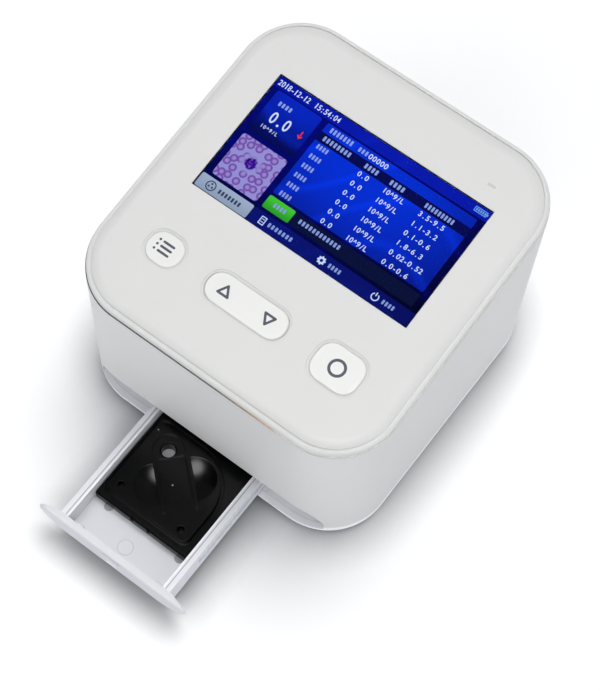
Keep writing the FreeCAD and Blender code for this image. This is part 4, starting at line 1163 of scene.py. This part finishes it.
@dataclass
class Screwdrive:
    """Thread of the long screw that moves the lens."""

    pitch: float = 1.0
    depth: float = 0.25
    around: int = 20
    along: int = 6

    def build(self) -> None:
        """Build the threaded screw in place of the plain one."""
        low, high = (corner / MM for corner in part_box("lead_screw"))
        radius = (high.x - low.x) / 2
        centre = ((low.x + high.x) / 2, (low.y + high.y) / 2)
        count = round((high.z - low.z) / self.pitch * self.along)
        sketch = Sketch()
        loops = []
        for row in range(count + 1):
            z = low.z + (high.z - low.z) * row / count
            end = min(row, count - row) / self.along
            loop = []
            for column in range(self.around):
                angle = 2 * math.pi * column / self.around
                phase = (z / self.pitch - column / self.around) % 1.0
                flank = min(1.0, abs(2 * phase - 1) * 1.6)
                reach = radius - self.depth * (1 - flank * min(1.0, end))
                loop.append((centre[0] + reach * math.cos(angle), centre[1] + reach * math.sin(angle)))
            loops.append(sketch.ring_of(loop, z))
        for lower, upper in zip(loops, loops[1:]):
            sketch.wall(lower, upper)
        sketch.mesh.faces.new(loops[-1])
        sketch.mesh.faces.new(loops[0][::-1])
        steel = Metal("thread_steel", seen(186, 188, 192), 0.22, (1.0, 1.0, 20.0)).material()
        made = sketch.piece("screw_thread", steel, "lead_screw", "ground_steel", smooth=True)
        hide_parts("lead_screw")


@dataclass
class Nodes:
    """Finishes of the CAD nodes, which stay as they are."""

    def build(self) -> None:
        """Dress every node."""
        # The housing's plastic is painted paler below 5.3 mm: painted light on the sill, which lies in shade.
        white = Moulded("housing_white", seen(215, 215, 213), specular=0.15, painted_light_height=5.3, painted_light_tone=seen(250, 250, 252)).material()
        # The bay's plastic is given a paler tone than the housing: painted light in the shaded recess.
        bay = Moulded("bay_painted_light", seen(244, 245, 248), 0.45).material()
        drawer = Moulded("drawer_white", seen(228, 229, 233), 0.38, edge=0.0, specular=0.2).material()
        # The drawer's front is given a darker tone than the tray: painted shade on its front face.
        plate = Moulded("plate_painted_shade", seen(216, 217, 220), 0.4, edge=0.12, specular=0.15).material()
        keys = Moulded("key_white", seen(219, 219, 217), 0.45, edge=0.15).material()
        black = Moulded(
            "holder_black", seen(5, 5, 6), 0.22, 0.4, 0.0015, 0.3, 0.1, 0.1
        ).material()
        dark = Moulded("part_black", seen(34, 34, 36), 0.5, clouds=0.1).material()
        grey = Moulded("plug_grey", seen(150, 152, 154), 0.5, edge=0.1).material()
        slide = Moulded("slide_grey", seen(196, 198, 200), 0.35).material()
        base = Moulded("base_grey", seen(188, 190, 192), 0.5).material()
        rubber = Moulded("foot_rubber", seen(48, 48, 50), 0.8, 0.3, 0.01, 0.4, 0.3, 0.15).material()
        lens = Moulded("lens_black", seen(24, 24, 26), 0.28, edge=0.2, clouds=0.1, coat=0.3).material()
        rocker = Moulded("rocker_black", seen(26, 26, 28), 0.4, edge=0.15).material()
        sleeve = Moulded("battery_sleeve", seen(40, 92, 160), 0.3, 3.0, 0.02, 0.2, coat=0.4).material()
        alu = Metal("machined_aluminium", seen(200, 202, 206), 0.32).material()
        steel = Metal("sheet_steel", seen(186, 188, 190), 0.36).material()
        ground = Metal("ground_steel", seen(196, 198, 202), 0.16, (20.0, 20.0, 1.0)).material()
        motor = Metal("motor_steel", seen(150, 152, 156), 0.4, (20.0, 20.0, 1.0)).material()
        # The trim's colour along its length is painted shade and reflection.
        spans = ((4.0, 30.0), (29.0, 38.0))
        trim = PaintedReflectionStrip("trim_painted_reflection", seen(24, 22, 24), seen(146, 112, 84), seen(196, 194, 190), spans).material()
        clear = Clear("window_clear").material()
        # Painted light: the status lens glows with a pale grey of its own.
        lamp = Glow("status_lens", seen(205, 210, 214), seen(190, 196, 202)).material()
        glass = Moulded("lcd_glass", seen(10, 10, 26), 0.2, 6.0, 0.001, 0.1, 0.2, 0.1).material()
        _, board_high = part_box("board_posts")
        main = Board("main_board", seen(24, 92, 56), seen(30, 30, 32), board_high.z / MM + 1.65).material()
        small = Board("small_board", seen(24, 92, 56), seen(30, 30, 32), 1000.0).material()
        cube = Board("camera_board", seen(30, 30, 32), seen(24, 92, 56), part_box("objective_lens")[1].z / MM + 7.0)
        finishes = {
            white: ("outer_shell", "bezel_ring", "top_cover"),
            bay: ("drawer_bay", "port_panel"),
            drawer: ("drawer_tray", "drawer_flag"),
            plate: ("drawer_front",),
            keys: ("menu_key", "nav_key", "ok_key"),
            black: ("cuvette_holder",),
            dark: ("drawer_sensor", "tact_switches", "speaker"),
            grey: ("tray_plugs",),
            slide: ("slide_rail_right", "slide_rail_left", "board_posts"),
            base: ("base_plate",),
            rubber: ("rubber_feet",),
            lens: ("objective_lens",),
            rocker: ("switch_body", "power_rocker"),
            sleeve: ("battery_pack",),
            alu: ("optics_tower", "focus_carriage", "heat_sink"),
            steel: ("lcd_frame", "display_bracket", "battery_bracket"),
            ground: ("guide_rods", "lead_screw"),
            motor: ("focus_motor",),
            trim: ("trim_ring",),
            clear: ("display_window",),
            lamp: ("status_light",),
            glass: ("lcd_panel",),
            main: ("main_board",),
            small: ("key_board", "light_source"),
            cube.material(): ("camera_board",),
            self.usb(): ("usb_port",),
            self.inlet(): ("dc_socket",),
        }
        for material, names in finishes.items():
            for name in names:
                self.dress(name, material)
        left = set(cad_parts) - {name for names in finishes.values() for name in names}
        if left:
            raise ValueError(f"nodes without a finish: {sorted(left)}")

    @staticmethod
    def dress(name: str, material: bpy.types.Material) -> None:
        """Give a node a finish."""
        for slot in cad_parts[name].material_slots:
            slot.material = material
        log.info("node %s: %s", name, material.name)

    @staticmethod
    def usb() -> bpy.types.Material:
        """Metal mouth with a white tongue."""
        low, high = (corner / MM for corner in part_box("usb_port"))
        tongue_low = (low.x + 0.6, low.y + 1.0, low.z + 2.6)
        tongue_high = (high.x - 0.6, high.y - 1.0, high.z - 0.8)
        finish = TwoTone("usb_socket", seen(190, 192, 196), seen(232, 232, 230), tongue_low, tongue_high, 1.0, 0.0)
        return finish.material()

    @staticmethod
    def inlet() -> bpy.types.Material:
        """Black inlet with a bright pin."""
        low, high = (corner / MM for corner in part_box("dc_socket"))
        x = (low.x + high.x) / 2
        z = low.z + 6.2
        pin_low = (x - 1.2, low.y + 3.0, z - 1.2)
        pin_high = (x + 1.2, high.y + 1.0, z + 1.2)
        finish = TwoTone("power_inlet", seen(30, 30, 32), seen(196, 198, 202), pin_low, pin_high, 0.0, 1.0)
        return finish.material()


# Studio


@dataclass
class Studio:
    """Floor, light and the camera at the photograph's place."""

    floor_half: float = 12.0
    key_level: float = 0.53
    fill_level: float = 0.15
    side_level: float = 0.06
    sky_level: float = 0.33
    painted_shadow_reach: float = 0.018
    panel_from: Rgb = (0.0, -0.13, 0.99)
    panel_level: float = 26.0
    azimuth: float = 33.4
    elevation: float = 65.0
    roll: float = 3.8
    distance: float = 0.7181
    shift: Point = (-0.0038, -0.0039)
    focal: float = 1766.0
    long_side: float = 691.0

    def build(self) -> None:
        """Build everything round the object."""
        self.floor()
        self.sky()
        self.sun("key_light", (-0.06, 0.42, 1.0), self.key_level, 40.0)
        self.sun("fill_light", (0.1, -1.0, 0.55), self.fill_level, 60.0)
        self.sun("side_light", (0.9, -0.2, 0.4), self.side_level, 60.0)
        self.camera()
        bpy.context.scene.view_settings.view_transform = "Standard"

    @staticmethod
    def direct(graph: Graph, count: int = 3) -> Value:
        """One for rays that show the background.

        Args:
            graph: Where the nodes go.
            count: How many of the kinds count: seen, mirrored and passed through.

        Returns:
            The mask.
        """
        sockets = graph.add("ShaderNodeLightPath").socket.node.outputs
        names = ("Is Camera Ray", "Is Glossy Ray", "Is Transmission Ray")[:count]
        mask = Value(graph, sockets[names[0]])
        for name in names[1:]:
            mask = mask.math("MAXIMUM", mask, Value(graph, sockets[name]))
        return mask

    def floor(self) -> None:
        """Plain pale floor, with a painted contact shadow close to what stands on it."""
        graph = Graph("floor_pale")
        painted_contact_shadow = graph.add("ShaderNodeAmbientOcclusion", {"samples": 16}, {"Distance": self.painted_shadow_reach}, "AO")
        colour = graph.mix(self.direct(graph), (0.82, 0.84, 0.9), (1.0, 1.0, 1.0))
        # Painted shadow: where the camera sees it, the floor darkens by its ambient occlusion.
        colour = graph.mix(self.direct(graph, 1) * (1 - painted_contact_shadow), colour, (0.0, 0.0, 0.0))
        material = graph.surface({"Base Color": colour, "Roughness": 1.0, "Specular IOR Level": 0.0})
        half = self.floor_half
        data = bpy.data.meshes.new("floor")
        data.from_pydata([(-half, -half, 0.0), (half, -half, 0.0), (half, half, 0.0), (-half, half, 0.0)], [], [(0, 1, 2, 3)])
        data.materials.append(material)
        made = bpy.data.objects.new("floor", data)
        bpy.context.scene.collection.objects.link(made)

    def sky(self) -> None:
        """Even light from all round, white where it is seen."""
        world = bpy.data.worlds.new("sky")
        bpy.context.scene.world = world
        world.use_nodes = True
        graph = Graph("sky_build")
        bpy.data.materials.remove(graph.made)
        graph.tree = world.node_tree
        graph.tree.nodes.clear()
        toward = graph.add("ShaderNodeTexCoord", output="Generated")
        split = graph.add("ShaderNodeSeparateXYZ", inputs={0: toward})
        height = Value(graph, split.socket.node.outputs[2])
        dome = graph.mix(height.fade(0.1, 0.6), (0.9, 0.9, 0.92), (0.04, 0.04, 0.042))
        settings = {"operation": "DOT_PRODUCT"}
        middle = Vector(self.panel_from).normalized()
        turn = graph.add("ShaderNodeVectorMath", settings, {0: toward, 1: tuple(middle)}, 1)
        dome = graph.mix(turn.fade(0.955, 0.985), dome, (self.panel_level,) * 3)
        level = self.sky_level
        colour = graph.mix(self.direct(graph), (level * 0.98, level, level * 1.04), dome)
        shader = graph.add("ShaderNodeBackground", inputs={"Color": colour, "Strength": 1.0})
        graph.add("ShaderNodeOutputWorld", inputs={"Surface": shader})

    @staticmethod
    def sun(name: str, origin: Rgb, level: float, softness: float) -> None:
        """Soft distant light.

        Args:
            name: Name of the lamp.
            origin: Direction that it comes from.
            level: Share of its own colour that it adds on a level surface.
            softness: Width of the light's source in degrees.
        """
        lamp = bpy.data.lights.new(name, "SUN")
        direction = Vector(origin).normalized()
        lamp.energy = level * math.pi / direction.z
        lamp.angle = math.radians(softness)
        made = bpy.data.objects.new(name, lamp)
        made.visible_glossy = False
        made.visible_transmission = False
        made.rotation_euler = direction.to_track_quat("Z", "Y").to_euler()
        bpy.context.scene.collection.objects.link(made)

    def camera(self) -> None:
        """Camera at the photograph's viewing angle."""
        azimuth, elevation, roll = (math.radians(a) for a in (self.azimuth, self.elevation, self.roll))
        flat = math.cos(elevation)
        back = Vector((math.sin(azimuth) * flat, -math.cos(azimuth) * flat, math.sin(elevation)))
        level = Vector((0.0, 0.0, 1.0)).cross(back).normalized()
        upper = back.cross(level)
        right = math.cos(roll) * level + math.sin(roll) * upper
        upper = math.cos(roll) * upper - math.sin(roll) * level
        shell_low, shell_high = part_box("outer_shell")
        centre = Vector((0.0, (shell_low.y + shell_high.y) / 2, 0.0))
        place = centre + self.shift[0] * right + self.shift[1] * upper + self.distance * back
        data = bpy.data.cameras.new("camera")
        data.sensor_width = 36.0
        data.lens = self.focal * data.sensor_width / self.long_side
        data.clip_start = 0.01
        data.clip_end = 60.0
        made = bpy.data.objects.new("camera", data)
        made.matrix_world = Matrix((
            (right.x, upper.x, back.x, place.x), (right.y, upper.y, back.y, place.y),
            (right.z, upper.z, back.z, place.z), (0.0, 0.0, 0.0, 1.0),
        ))
        bpy.context.scene.collection.objects.link(made)
        bpy.context.scene.camera = made


def main() -> None:
    """Build the studio and dress the analyzer, one sub-assembly after the other."""
    logging.basicConfig(level=logging.INFO, format="%(message)s")
    Studio().build()
    Nodes().build()
    face = Face()
    Display(face).build()
    Keys(face).build()
    Seams(face).build()
    Fasteners().build()
    TrayTrim().build()
    Screwdrive().build()
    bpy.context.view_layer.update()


if __name__ == "__main__":
    main()
